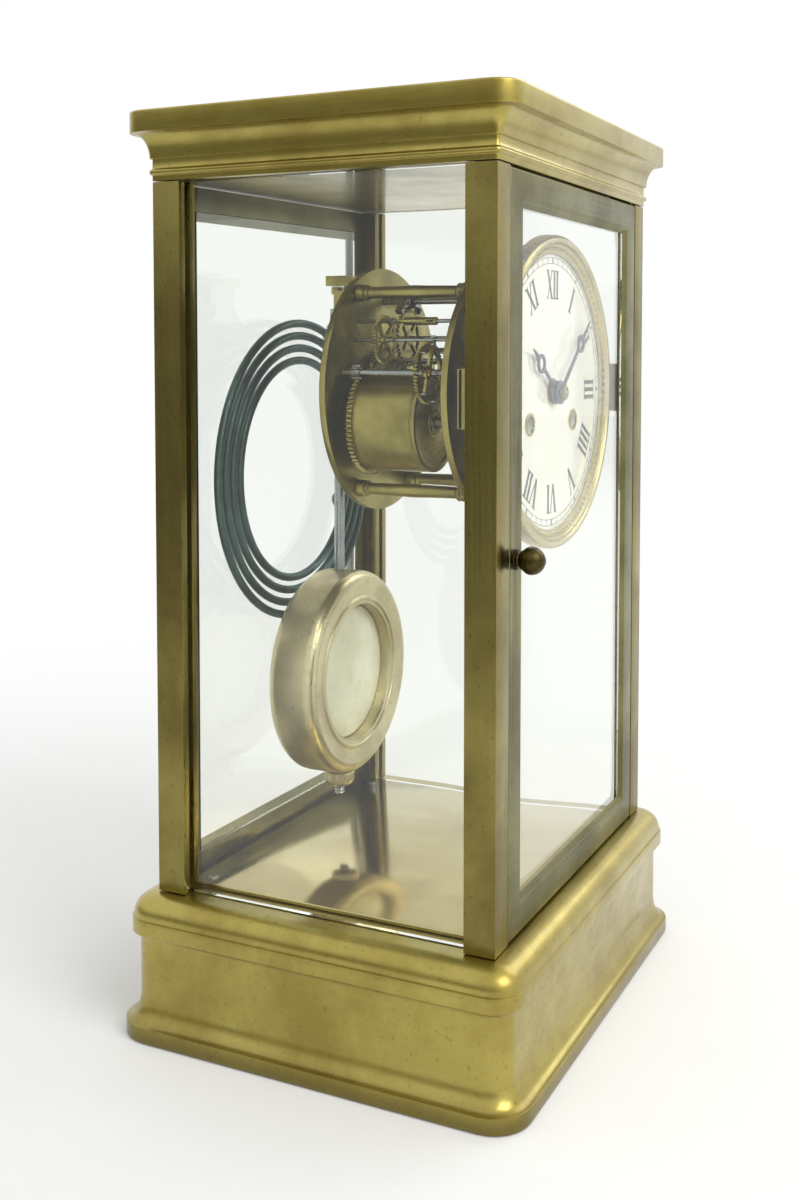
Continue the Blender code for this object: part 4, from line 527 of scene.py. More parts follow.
def drilled(shape, drills):
    """The shape with the drills' shapes taken out of it."""
    body, tool = [new_object("work", new_mesh("work", part)) for part in (shape, together(drills))]
    cut = body.modifiers.new("drill", "BOOLEAN")
    cut.operation = "DIFFERENCE"
    cut.solver = "EXACT"
    cut.object = tool
    result = evaluated(body)
    for obj in (body, tool):
        mesh = obj.data
        bpy.data.objects.remove(obj)
        bpy.data.meshes.remove(mesh)
    return result


def knurled(shape, centre, axis, beyond, depth, ridges):
    """The shape with ridges cut in its rim, round axis 1 for Y or 2 for Z."""
    for vert in shape.verts:
        away = vert.co - Vector(centre)
        away[axis] = 0.0
        if away.length > beyond:
            angle = math.atan2(away[3 - axis], away.x)
            vert.co -= away.normalized() * depth * (1 - math.cos(ridges * angle))
    return shape


# Toothed wheels

def tooth(side, peak=()):
    """A tooth's outline from one side's (radius, share of the pitch) points and its peak."""
    return [(radius, -share) for radius, share in side] + list(peak) + side[::-1]


def sector_ring(outer, inner, count, place, start, first, thickness):
    """A ring made of one tooth's sector, repeated round a place.

    outer is the tooth as (radius, share of the pitch) points from -0.5 to 0.5.
    """
    pitch = 360.0 / count
    spots = [
        around(place, radius, first + pitch * share)
        for radius, share in [*outer, (inner, 0.5), (inner, -0.5)]
    ]
    shape = bmesh.new()
    face = shape.faces.new([shape.verts.new((x, start, z)) for x, z in spots])
    bmesh.ops.spin(
        shape, geom=[face] + face.verts[:] + face.edges[:], cent=(place[0], start, place[1]),
        axis=(0, 1, 0), dvec=(0, 0, 0), angle=math.tau * (count - 1) / count, steps=count - 1,
        use_duplicate=True,
    )
    bmesh.ops.remove_doubles(shape, verts=shape.verts, dist=MERGE * 5)
    return thickened(shape, (0, thickness, 0))


def gear(teeth, module, place, start, thickness, first, windows=0, hub=0.0, wheel=True):
    """A wheel's rim of rounded teeth, crossed out where it has windows, or a solid pinion."""
    middle = module * teeth / 2
    tip = middle + module * (0.70 if wheel else 0.55)
    root = middle - module * 1.15
    if wheel:
        side = [(root, 0.5), (root, 0.33), (middle, 0.20), (tip - module * 0.2, 0.09)]
    else:
        side = [(root, 0.5), (root, 0.20), (middle, 0.15), (tip - module * 0.08, 0.08)]
    rim = root * RIM_SHARE if windows else min(0.5, root * 0.5)
    shapes = [sector_ring(tooth(side, [(tip, 0.0)]), rim, teeth, place, start, first, thickness)]
    if windows:
        boss = max(root * 0.26, hub)
        shapes.append(ring(place, hub * 0.5, boss, start, start + thickness, reach=0.08))
        # The spokes are a little thinner than the rim, and run into it and into the boss
        for number in range(windows):
            shapes.append(spoke(
                place, first + 360.0 * number / windows, boss * 0.9, rim * 1.02, root * 0.10,
                root * 0.065, start + 0.04, thickness - 0.08, 0.05,
            ))
    return together(shapes)


def arbor(place, radius):
    """A polished arbor with shoulders inside the plates and a domed pivot at each end."""
    pivot = 0.4
    start, front = FRONT_PLATE
    end, back = BACK_PLATE
    return turned([
        (0, start), (pivot * 0.7, start), (pivot, start + 0.15), (pivot, front + 0.3),
        (radius * 0.8, front + 0.3), (radius, front + 0.55), (radius, back - 0.55),
        (radius * 0.8, back - 0.3), (pivot, back - 0.3), (pivot, end - 0.15), (pivot * 0.7, end),
        (0, end),
    ], place, steps=24)


# Finishes

def feed(tree, node, values):
    """Link each named input of a node to a socket, or set it to a value."""
    for key, value in values.items():
        if isinstance(value, bpy.types.NodeSocket):
            tree.links.new(value, node.inputs[key])
        else:
            node.inputs[key].default_value = value


def add_node(tree, kind, settings=None, values=None):
    """A node with its settings, its inputs linked to sockets or set to values."""
    node = tree.nodes.new(kind)
    for name, value in (settings or {}).items():
        setattr(node, name, value)
    feed(tree, node, values or {})
    return node


def noise(tree, place, size, detail, roughness=0.5):
    """Soft noise with clouds of some size in millimetres."""
    return add_node(tree, "ShaderNodeTexNoise", values={
        "Vector": place, "Scale": 1 / (size * MM), "Detail": detail, "Roughness": roughness,
    }).outputs["Fac"]


def remap(tree, value, start, end, low=0.0, high=1.0, kind="LINEAR"):
    """The value brought from one range to another, and held inside it."""
    return add_node(tree, "ShaderNodeMapRange", {"interpolation_type": kind}, {
        "Value": value, "From Min": start, "From Max": end, "To Min": low, "To Max": high,
    }).outputs["Result"]


def maths(tree, operation, *values, clamp=False):
    """The result of a calculation with two or three numbers."""
    return add_node(
        tree, "ShaderNodeMath", {"operation": operation, "use_clamp": clamp}, dict(enumerate(values)),
    ).outputs[0]


def mark(tree, name):
    """How far a face carries a mark, which is a number from 0 to 1."""
    return add_node(tree, "ShaderNodeAttribute", {"attribute_name": name}).outputs["Fac"]


def axes_of(tree, vector):
    """The three parts of a vector, by their names."""
    return add_node(tree, "ShaderNodeSeparateXYZ", values={0: vector}).outputs


def rgba(tone, factor=1.0, plus=0.0):
    """A colour with its alpha, made lighter or darker."""
    return (*[min(1.0, part * factor + plus) for part in tone], 1)


def blend(tree, share, first, second):
    """Two colours mixed by a share."""
    return add_node(tree, "ShaderNodeMix", {"data_type": "RGBA"}, {
        0: share, 6: first, 7: second,
    }).outputs[2]


def blend_shaders(tree, share, first, second):
    """Two shaders mixed by a share."""
    return add_node(tree, "ShaderNodeMixShader", values={0: share, 1: first, 2: second}).outputs[0]


def bump(tree, height, strength, distance):
    """The surface's direction over a relief of some millimetres."""
    return add_node(tree, "ShaderNodeBump", values={
        "Height": height, "Strength": strength, "Distance": distance * MM,
    }).outputs["Normal"]


def new_material(name):
    """A new material with its tree, its Principled shader and the Object coordinates."""
    made = bpy.data.materials.new(name)
    made.use_nodes = True
    tree = made.node_tree
    place = add_node(tree, "ShaderNodeTexCoord").outputs["Object"]
    return made, tree, tree.nodes["Principled BSDF"], place


def show(tree, shader):
    """Make a shader the material's surface."""
    feed(tree, tree.nodes["Material Output"], {"Surface": shader})


def worked_metal(name, tone, roughness, cloud, grain, depth, ageing=None, rings=None, worn=0.55,
                 spots=0.5, metallic=1.0, grime=0.0, lacquer=0.0):
    """A metal with clouds of ageing, dark specks, its tool's grain and brighter edges.

    tone names its colour in the finishes. Its aged colour is there too, or is the same colour
    times ageing. cloud is the size of the clouds and grain the spacing of the tool marks, in
    millimetres. grain is (x, y, z) for straight marks, and one number for turned ones, which
    lie in rings about a place. grime is how much shade is painted on the foot of the case,
    darkening it towards the bottom, and lacquer how much clear varnish lies over the metal.
    """
    made, tree, shader, place = new_material(name)
    tones = bpy.context.scene.regulator_finishes
    clean = getattr(tones, tone)
    aged = [c * k for c, k in zip(clean, ageing)] if ageing else getattr(tones, tone + "_aged")
    # The noise lies mostly between these two values, so both tones come out
    clouds = noise(tree, place, cloud, 5.0, 0.62)
    drift = remap(tree, clouds, 0.40, 0.64)
    skin = blend(tree, drift, rgba(clean), rgba(aged))
    # Specks of tarnish about a millimetre across
    specks = remap(tree, noise(tree, place, 1.3, 3.0), 0.62, 0.74, 0.0, spots)
    skin = blend(tree, specks, skin, rgba(aged, 0.45))
    rubbed = maths(tree, "MULTIPLY", mark(tree, "worn_edge"), worn)
    skin = blend(tree, rubbed, skin, rgba(clean, 1.5, 0.05))
    # Painted shade: a darker copy of the aged tone darkens the case towards the bottom of its foot
    if grime:
        height = axes_of(tree, place)["Z"]
        shade_share = remap(tree, height, 8.5 * MM, 1.5 * MM, 0.0, grime, "SMOOTHSTEP")
        skin = blend(tree, shade_share, skin, rgba(aged, 0.45))
    if rings:
        centred = add_node(tree, "ShaderNodeMapping", values={
            "Vector": place, "Location": (-rings[0] * MM, 0, -rings[1] * MM),
        }).outputs["Vector"]
        marks = add_node(tree, "ShaderNodeTexWave", {
            "wave_type": "RINGS", "rings_direction": "Y", "wave_profile": "SIN",
        }, {
            "Vector": centred, "Scale": math.tau / (20 * grain * MM), "Distortion": 1.4,
            "Detail": 3.0, "Detail Scale": 2.0,
        }).outputs["Fac"]
    else:
        # Straight marks run up a piece, and along it where the faces are marked as a lying bar's
        axes = axes_of(tree, place)
        laid = add_node(tree, "ShaderNodeCombineXYZ", values={
            0: axes["Z"], 1: axes["Y"], 2: axes["X"],
        }).outputs[0]
        along = add_node(tree, "ShaderNodeMix", {"data_type": "VECTOR"}, {
            0: mark(tree, "lying_bar"), 4: place, 5: laid,
        }).outputs[1]
        stretched = add_node(tree, "ShaderNodeMapping", values={
            "Vector": along, "Scale": tuple(1 / (size * MM) for size in grain),
        }).outputs["Vector"]
        marks = noise(tree, stretched, 1 / MM, 3.0, 0.6)
    relief = maths(tree, "MULTIPLY_ADD", clouds, 0.6, marks)
    rough = remap(tree, marks, 0.3, 0.7, roughness * 0.85, roughness * 1.2)
    feed(tree, shader, {
        "Base Color": skin, "Normal": bump(tree, relief, 0.5, depth), "Metallic": metallic,
        "Roughness": maths(tree, "MULTIPLY_ADD", drift, roughness * 0.3, rough),
        "Coat Weight": lacquer, "Coat Roughness": 0.12,
    })
    return made


def fired_enamel(name, tone):
    """White enamel over copper, fired smooth: a soft glassy skin with a faint unevenness."""
    made, tree, shader, place = new_material(name)
    clouds = noise(tree, place, 14, 4.0)
    feed(tree, shader, {
        "Base Color": blend(tree, clouds, rgba(tone), rgba(tone, 0.9)),
        "Normal": bump(tree, clouds, 0.15, 0.3), "Roughness": 0.16, "Coat Weight": 0.4,
        "Coat Roughness": 0.05,
    })
    return made


def fired_black(name, tone):
    """Black fired into the enamel: slightly duller than the white, with thin places in it."""
    made, tree, shader, place = new_material(name)
    thin = noise(tree, place, 0.8, 3.0)
    feed(tree, shader, {
        "Base Color": blend(tree, thin, rgba(tone), rgba(tone, 1.8, 0.01)), "Roughness": 0.32,
    })
    return made


def plate_glass(name, tone):
    """Polished plate glass: clear, a little green in its thickness, with faint smears."""
    made, tree, shader, place = new_material(name)
    smears = noise(tree, place, 22, 6.0, 0.7)
    feed(tree, shader, {
        "Base Color": rgba(tone), "Roughness": remap(tree, smears, 0.5, 0.8, 0.0, 0.025),
        "Transmission Weight": 1.0, "IOR": 1.5,
    })
    clear = add_node(tree, "ShaderNodeBsdfTransparent", values={"Color": rgba(tone)}).outputs["BSDF"]
    shadow = add_node(tree, "ShaderNodeLightPath").outputs["Is Shadow Ray"]
    show(tree, blend_shaders(tree, shadow, shader.outputs["BSDF"], clear))
    return made


METALS = {
    # Sand-cast brass, filed and lacquered: warm, with browning clouds under the lacquer, and painted shade at
    # its foot
    "lacquered_cast_brass": dict(
        tone="case_brass", roughness=0.30, cloud=26, grain=(14, 14, 1.2), depth=0.035, grime=0.8,
        lacquer=0.6),
    # Drawn brass bar, polished along its length and browned by handling
    "drawn_brass": dict(
        tone="post_brass", roughness=0.27, cloud=34, grain=(0.9, 0.9, 30), depth=0.02),
    # The same bar round the doors, given a darker, greyer tone than the posts
    "toned_door_brass": dict(
        tone="door_brass", roughness=0.29, cloud=30, grain=(0.9, 0.9, 30), depth=0.02),
    # Sheet brass buffed to a mirror, with the faintest wipe marks
    "mirror_brass": dict(
        tone="floor_brass", roughness=0.10, cloud=40, grain=(30, 2.5, 8), depth=0.006, spots=0.15),
    # Brass left brown by handling, dark in the hollows
    "browned_brass": dict(
        tone="knob", ageing=(0.7, 0.7, 0.7), roughness=0.30, cloud=4, grain=(1, 1, 1), depth=0.02),
    # Rolled brass plate, straight-grained with a stone
    "grained_brass": dict(
        tone="movement_brass", roughness=0.30, cloud=16, grain=(0.8, 6, 24), depth=0.018),
    # Wheel brass, finished on the lathe
    "wheel_brass": dict(
        tone="movement_brass", roughness=0.26, cloud=8, grain=(1.5, 1.5, 1.5), depth=0.01, spots=0.2),
    # Barrels, turned all over, so their tool marks run round them
    "turned_time_barrel": dict(
        tone="movement_brass", roughness=0.28, cloud=12, grain=0.9, depth=0.02,
        rings=PLACES["time_barrel"]),
    "turned_strike_barrel": dict(
        tone="movement_brass", roughness=0.28, cloud=12, grain=0.9, depth=0.02,
        rings=PLACES["strike_barrel"]),
    # Bezel brass, spun and polished
    "spun_bezel_brass": dict(
        tone="bezel_brass", roughness=0.22, cloud=20, grain=0.8, depth=0.012, rings=MOVEMENT),
    # Bob brass, turned and dulled to a pale grey gold
    "turned_bob_brass": dict(
        tone="bob_brass", roughness=0.30, cloud=15, grain=0.8, depth=0.02, rings=BOB_PLACE),
    # Silvered brass with turned rings, yellowing where the silver is thin
    "silvered_brass": dict(
        tone="silvered", roughness=0.34, cloud=9, grain=0.7, depth=0.015, rings=BOB_PLACE,
        spots=0.25, metallic=0.3),
    # Steel, ground and burnished
    "burnished_steel": dict(
        tone="steel", roughness=0.24, cloud=9, grain=(3, 7, 9), depth=0.003, spots=0.12),
    # Steel polished and tempered blue over a flame, drifting towards purple
    "blued_steel": dict(
        tone="blued", ageing=(1.5, 0.8, 0.75), roughness=0.22, cloud=6, grain=(2, 2, 2),
        depth=0.006, worn=0.25, spots=0.2),
    # Hardened gong wire, blackened in oil: blue-black and slightly rough
    "oil_blackened_steel": dict(
        tone="gong", ageing=(0.7, 0.7, 0.7), roughness=0.36, cloud=14, grain=(1.5, 1.5, 1.5),
        depth=0.02, spots=0.25),
}
OTHERS = {
    "fired_white_enamel": (fired_enamel, "enamel"), "fired_black_enamel": (fired_black, "ink"),
    "polished_plate_glass": (plate_glass, "glass"),
}


def finish(name):
    """The material of that finish, made the first time it is wanted."""
    made = bpy.data.materials.get(name)
    if made:
        return made
    if name in METALS:
        return worked_metal(name, **METALS[name])
    maker, tone = OTHERS[name]
    return maker(name, getattr(bpy.context.scene.regulator_finishes, tone))


def piece(name, shapes, finish_name, body, stands_for=()):
    """Make a finished piece from its shapes: to metres, finished, riding on its body."""
    shape = together(shapes)
    bmesh.ops.scale(shape, vec=(MM, MM, MM), verts=shape.verts)
    mesh = new_mesh(name, shape)
    if not mesh.polygons:
        raise RuntimeError(name + " came out empty")
    marks = [float(face.material_index) for face in mesh.polygons]
    mesh.attributes.new("worn_edge", "FLOAT", "FACE").data.foreach_set("value", marks)
    mesh.polygons.foreach_set("material_index", [0] * len(marks))
    mesh.set_sharp_from_angle(angle=SHARP)
    mesh.materials.append(finish(finish_name))
    made = new_object(name, mesh)
    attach(made, body)
    if stands_for:
        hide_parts(*stands_for)
    return made


# Operators: the case

class REGULATOR_OT_base(bpy.types.Operator):
    """Cast base: foot, cove, waist, torus and ovolo, hollow underneath"""

    bl_idname = "regulator.base"
    bl_label = "Base Moulding"

    def execute(self, context):
        case = context.scene.regulator_case
        foot, waist, torus = mm(case.foot_out), mm(case.waist_out), mm(case.torus_out)
        profile = [(0.5, 34.0), (0.5, 0.0), (foot - 1.0, 0.0)]
        profile += arc((foot - 1.0, 1.0), (1.0, 1.0), -80, 0, 4) + [(foot, 5.0)]
        profile += arc((foot, 12.5), (waist - foot, -7.5), 90, 0, 12)[1:] + [(waist, 28.4)]
        profile += arc((torus - 0.4, 28.4), (waist - torus + 0.4, 2.7), 0, 90, 6)[1:]
        profile += [(torus, 31.1), (torus, 35.5), (torus - 0.5, 35.5)]
        profile += arc((1.2, 36.0), (torus - 1.7, BASE_TOP - 36.0), 0, 90, 12)
        shape = moulded(profile, mm(case.corner), mm(case.arris))
        piece("base_casting", [shape], "lacquered_cast_brass", "case", ["base_moulding"])
        return {"FINISHED"}


class REGULATOR_OT_crown(bpy.types.Operator):
    """Crown moulding: neck bead, cove and fascia under a sunk top panel"""

    bl_idname = "regulator.crown"
    bl_label = "Crown Moulding"

    def execute(self, context):
        case = context.scene.regulator_case
        crown = mm(case.crown_out)
        profile = [(-2.0, POST_TOP), (0.4, POST_TOP), (0.4, 252.0)]
        profile += arc((0.4, 253.0), (0.9, 0.9), -80, 80, 6)
        profile += [(0.4, 254.2), (0.4, 256.8), (1.2, 256.8)]
        profile += arc((crown - 1.0, 256.8), (2.2 - crown, 7.0), 0, 90, 12)[1:]
        profile += [(crown, 263.8), (crown, CASE_TOP - 0.6)]
        profile += arc((crown - 0.6, CASE_TOP - 0.6), (0.6, 0.6), 10, 90, 3)
        profile += [(-3.2, CASE_TOP), (-3.8, CASE_TOP - 0.5), (-7.0, CASE_TOP - 0.5)]
        shape = moulded(profile, mm(case.corner), mm(case.arris))
        piece("crown_moulding", [shape], "lacquered_cast_brass", "case", ["cornice"])
        return {"FINISHED"}


class REGULATOR_OT_posts(bpy.types.Operator):
    """Square corner posts with softened arrises"""

    bl_idname = "regulator.posts"
    bl_label = "Corner Posts"

    def execute(self, context):
        arris = mm(context.scene.regulator_case.post_arris)
        for corner in CORNERS:
            node = "post_" + corner
            piece("corner_" + node, [frame_copy(node, arris, 3)], "drawn_brass", "case", [node])
        return {"FINISHED"}


class REGULATOR_OT_post_screws(bpy.types.Operator):
    """Hexagonal screws that hold the posts down from under the deck"""

    bl_idname = "regulator.post_screws"
    bl_label = "Post Screws"

    def execute(self, context):
        for corner in CORNERS:
            node = "post_screw_" + corner
            low, high = cad_box(node)
            middle = (low + high) / 2
            head = hexagon((middle.x, middle.y, low.z + 2.6), (0, 0, -1), 3.35, 2.5)
            shank = turned([(0, low.z + 2.0), (1.6, low.z + 2.0), (1.6, high.z - 0.4), (0, high.z)],
                           (middle.x, middle.y), "Z", steps=20)
            piece("fixing_" + node, [head, shank], "burnished_steel", "case", [node])
        return {"FINISHED"}


class REGULATOR_OT_floor(bpy.types.Operator):
    """Mirror-polished floor plate and the small screws at its corners"""

    bl_idname = "regulator.floor"
    bl_label = "Floor Plate"

    def execute(self, context):
        high = cad_box("floor_plate")[1]
        inset = 5.0
        shape = frame_copy("floor_plate", 0.25, 3)
        piece("polished_floor", [shape], "mirror_brass", "case", ["floor_plate"])
        piece("floor_screws", [
            screw((x, y, high.z - 0.15), (0, 0, 1), 1.5, 0.55, 25 + x)
            for x in (inset - high.x, high.x - inset) for y in (inset - high.y, high.y - inset)
        ], "burnished_steel", "case")
        return {"FINISHED"}


class REGULATOR_OT_glass(bpy.types.Operator):
    """Bevelled plate glass of the sides and doors"""

    bl_idname = "regulator.glass"
    bl_label = "Bevelled Glass"

    def execute(self, context):
        case = context.scene.regulator_case
        width, depth = mm(case.bevel_width), mm(case.bevel_depth)
        for node, body, outward in (
            ("side_glass_left", "case", (-1, 0, 0)), ("side_glass_right", "case", (1, 0, 0)),
            ("front_door_glass", "front_door", (0, -1, 0)), ("back_door_glass", "back_door", (0, 1, 0)),
        ):
            # The box has the bevel's thin edge, and the middle of its outer face is moved out again
            step = Vector(outward) * depth
            low, high = cad_box(node)
            positive = sum(outward) > 0
            shape = box(low, high - step) if positive else box(low - step, high)
            face = max(shape.faces, key=lambda side: side.normal.dot(step))
            bmesh.ops.inset_region(
                shape, faces=[face], thickness=width, depth=depth, use_even_offset=True,
            )
            closed_up(shape, smooth=False)
            piece("bevelled_" + node, [shape], "polished_plate_glass", body, [node])
        return {"FINISHED"}


class REGULATOR_OT_doors(bpy.types.Operator):
    """Glazed door frames with softened edges"""

    bl_idname = "regulator.doors"
    bl_label = "Doors"

    def execute(self, context):
        case = context.scene.regulator_case
        arris, rail = mm(case.post_arris), mm(case.door_rail)
        for side in ("front", "back"):
            node = side + "_door_frame"
            low, high = cad_box(node)
            bottom, top = low.z + rail, high.z - rail
            shape = frame_copy(node, arris * 0.6)
            for height in (bottom, top):
                bmesh.ops.bisect_plane(
                    shape, geom=shape.verts[:] + shape.edges[:] + shape.faces[:], dist=0.0001,
                    plane_co=(0, 0, height), plane_no=(0, 0, 1),
                )
            made = piece(side + "_door_rails", [shape], "toned_door_brass", side + "_door", [node])
            lying = made.data.attributes.new("lying_bar", "FLOAT", "FACE")
            lying.data.foreach_set("value", [
                float(not bottom * MM < face.center.z < top * MM) for face in made.data.polygons
            ])
        return {"FINISHED"}


class REGULATOR_OT_latches(bpy.types.Operator):
    """Turned latch knobs with their stems and tongues"""

    bl_idname = "regulator.latches"
    bl_label = "Latch Knobs"

    def execute(self, context):
        radius = mm(context.scene.regulator_case.knob_radius)
        for side, way in (("front", -1), ("back", 1)):
            node = side + "_door_latch"
            low, high = cad_box(node)
            x, z = PLACES[side + "_latch"]
            tip, behind = (low.y, high.y) if way < 0 else (high.y, low.y)
            # The collar lies against the door this far behind the tip
            face = tip - way * 8.5
            profile = [(0, tip), (0.9, tip - way * 0.02)]
            profile += [(r, tip - way * (radius - h)) for r, h in arc((0, 0), (radius, radius), 62, 4, 8)]
            profile += [(radius * wide, tip - way * radius * far)
                        for wide, far in ((1.0, 1.12), (0.93, 1.3), (0.62, 1.75))]
            profile += [(r, face + way * h) for r, h in (
                (1.7, 1.55), (1.9, 1.1), (2.8, 1.0), (2.8, 0.12), (2.6, 0), (1.1, 0))]
            profile += [(1.1, behind + way * 0.5), (0, behind + way * 0.5)]
            knob = turned(profile, (x, z), steps=48, reach=0.1)
            ends = sorted((behind, behind + way * 1.1))
            tongue = block((x - 1.7, ends[0], z - 1.7), (x + 1.7, ends[1], high.z), 0.3, 3)
            piece(side + "_latch_knob", [knob, tongue], "browned_brass", side + "_latch", [node])
        return {"FINISHED"}


# Operators: the movement

class REGULATOR_OT_plates(bpy.types.Operator):
    """Movement plates with oil sinks, their pillars and nuts"""

    bl_idname = "regulator.plates"
    bl_label = "Movement Plates"

    def execute(self, context):
        sizes = context.scene.regulator_movement
        radius, edge, sink = mm(sizes.plate_radius), mm(sizes.edge), mm(sizes.oil_sink)
        fine = ["intermediate_wheel", "third_wheel", "escape_wheel", "pin_wheel", "locking_wheel", "fly"]
        sinks = {"front": fine + ["pallets", "hammer"], "back": fine + ["centre_wheel"]}
        bores = {"front": [("centre_wheel", 1.3)], "back": [("pallets", 1.3), ("hammer", 1.3)]}
        barrels = [("time_barrel", 1.9), ("strike_barrel", 1.9)]
        for side, (outside, inside) in (("front", FRONT_PLATE), ("back", BACK_PLATE)):
            way = math.copysign(1, outside)
            above, below = outside + way * 0.2, inside - way * 0.2
            drills = [
                turned([(0, above), (sink * 1.15, above), (0.55, outside - way * 0.6),
                        (0.5, outside - way * 0.6), (0.5, below), (0, below)], PLACES[name], steps=24)
                for name in sinks[side]
            ]
            drills += [
                turned([(0, above), (size + 0.35, above), (size, outside - way * 0.3), (size, below),
                        (0, below)], PLACES[name], steps=32)
                for name, size in bores[side] + barrels
            ]
            shapes = [drilled(ring(MOVEMENT, 0, radius, inside, outside, 128, edge), drills)]
            if side == "front":
                shapes += [self.pillar(heading) for heading in PILLAR_HEADINGS]
            piece(side + "_movement_plate", shapes, "grained_brass", "case", [side + "_plate"])
        for number, heading in enumerate(PILLAR_HEADINGS, start=1):
            x, z = around(MOVEMENT, PILLAR_REACH, heading)
            nut = hexagon((x, 14.3, z), (0, 1, 0), 2.55, 1.65, heading)
            end = turned([(0, 15.6), (1.35, 15.6), (1.35, 15.9), (1.1, 16.1), (0, 16.15)], (x, z), steps=24)
            piece(f"pillar_nut_{number}", [nut, end], "burnished_steel", "case", [f"plate_nut_{number}"])
        return {"FINISHED"}

    @staticmethod
    def pillar(heading):
        """A turned pillar with a collar and bead at each end."""
        ends = -13.3
        half = [(2.6, -24.9), (2.6, -22.9), (2.0, -22.5), (2.45, -22.0), (2.45, -21.4), (1.75, -20.8),
                (1.9, -12.0), (2.1, -6.6)]
        profile = [(0, -25.6), (2.6, -25.6)] + half + [(r, ends - y) for r, y in reversed(half)]
        profile += [(2.6, 11.65), (1.4, 11.65), (1.4, 15.75), (0, 15.75)]
        return turned(profile, around(MOVEMENT, PILLAR_REACH, heading), steps=32, reach=0.12)


class REGULATOR_OT_barrels(bpy.types.Operator):
    """Mainspring barrels, springs, winding squares, ratchets and clicks"""

    bl_idname = "regulator.barrels"
    bl_label = "Barrels"

    def execute(self, context):
        for side, sign, mate in (("time", 1, "intermediate_wheel"), ("strike", -1, "pin_wheel")):
            node = side + "_barrel"
            place = PLACES[node]
            drum = turned([
                (15.0, -14.0), (15.0, -12.9), (14.8, -12.7), (14.8, -12.4), (15.0, -12.2), (15.0, 4.8),
                (15.0, 6.4), (1.9, 6.4), (1.9, 5.5), (14.1, 5.5), (14.1, -13.1), (1.9, -13.1),
                (1.9, -14.0), (4.2, -14.0), (4.4, -13.6), (13.0, -13.6), (13.3, -14.0),
            ], place, steps=96, reach=0.12)
            great = gear(64, 0.5, place, 6.1, 1.6, toward(place, PLACES[mate]))
            boss = ring(place, 1.9, 4.6, 6.0, 7.7, 48, 0.1)
            piece(node + "_drum", [drum, great, boss], f"turned_{node}", node, [node])
            self.mainspring(side, sign, place)
            self.winding(side, sign, place)
        return {"FINISHED"}

    @staticmethod
    def mainspring(side, sign, place):
        """The coiled strip inside a drum, eight turns from the arbor to the wall."""
        turns, steps = 8, 40
        inner, outer = 2.4, 13.1
        shape = bmesh.new()
        edges = [shape.edges.new([
            shape.verts.new((place[0] + inner, y, place[1])) for y in (-12.4, 4.8)
        ])]
        for step in range(1, turns * steps + 1):
            share = step / (turns * steps)
            radius = inner + (outer - inner) * share
            verts, edges = drawn_out(shape, edges)
            for vert in verts:
                vert.co.x, vert.co.z = around(place, radius, sign * 360.0 * turns * share)
        for face in shape.faces:
            face.smooth = True
        spring = piece(side + "_coiled_spring", [shape], "blued_steel", side + "_barrel",
                       [side + "_mainspring"])
        wall = spring.modifiers.new("strip", "SOLIDIFY")
        wall.thickness = 0.45 * MM
        wall.offset = 0.0

    @staticmethod
    def winding(side, sign, place):
        """The winding square and its ratchet wheel, and the click."""
        half = 1.5
        shaft = turned([(0, -28.4), (1.6, -28.4), (1.6, 13.7), (1.3, 14.0), (0, 14.0)], place, steps=32)
        square = plate([(-half, -half), (half, -half), (half, half), (-half, half)], -42.5, 14.5, 0.28, place)
        outer = [(4.6, -0.5), (5.55, -0.36), (5.6, -0.28), (4.6, 0.5)]
        if sign > 0:
            outer = [(radius, -share) for radius, share in reversed(outer)]
        rim = sector_ring(outer, 1.5, 20, place, -28.4, 0.0, 1.1)
        cap = turned([(1.5, -28.6), (3.0, -28.6), (3.1, -28.3), (1.5, -28.3)], place, steps=32)
        piece(side + "_winding_square", [shaft, square, rim, cap], "burnished_steel", side + "_winding",
              [side + "_winding_arbor"])
        node = side + "_click"
        x, z = PLACES[node]
        head = screw((x, -28.9, z), (0, -1, 0), 1.15, 0.55, 30)
        piece(side + "_click_pawl", [frame_copy(node, 0.12), head], "burnished_steel", node, [node])


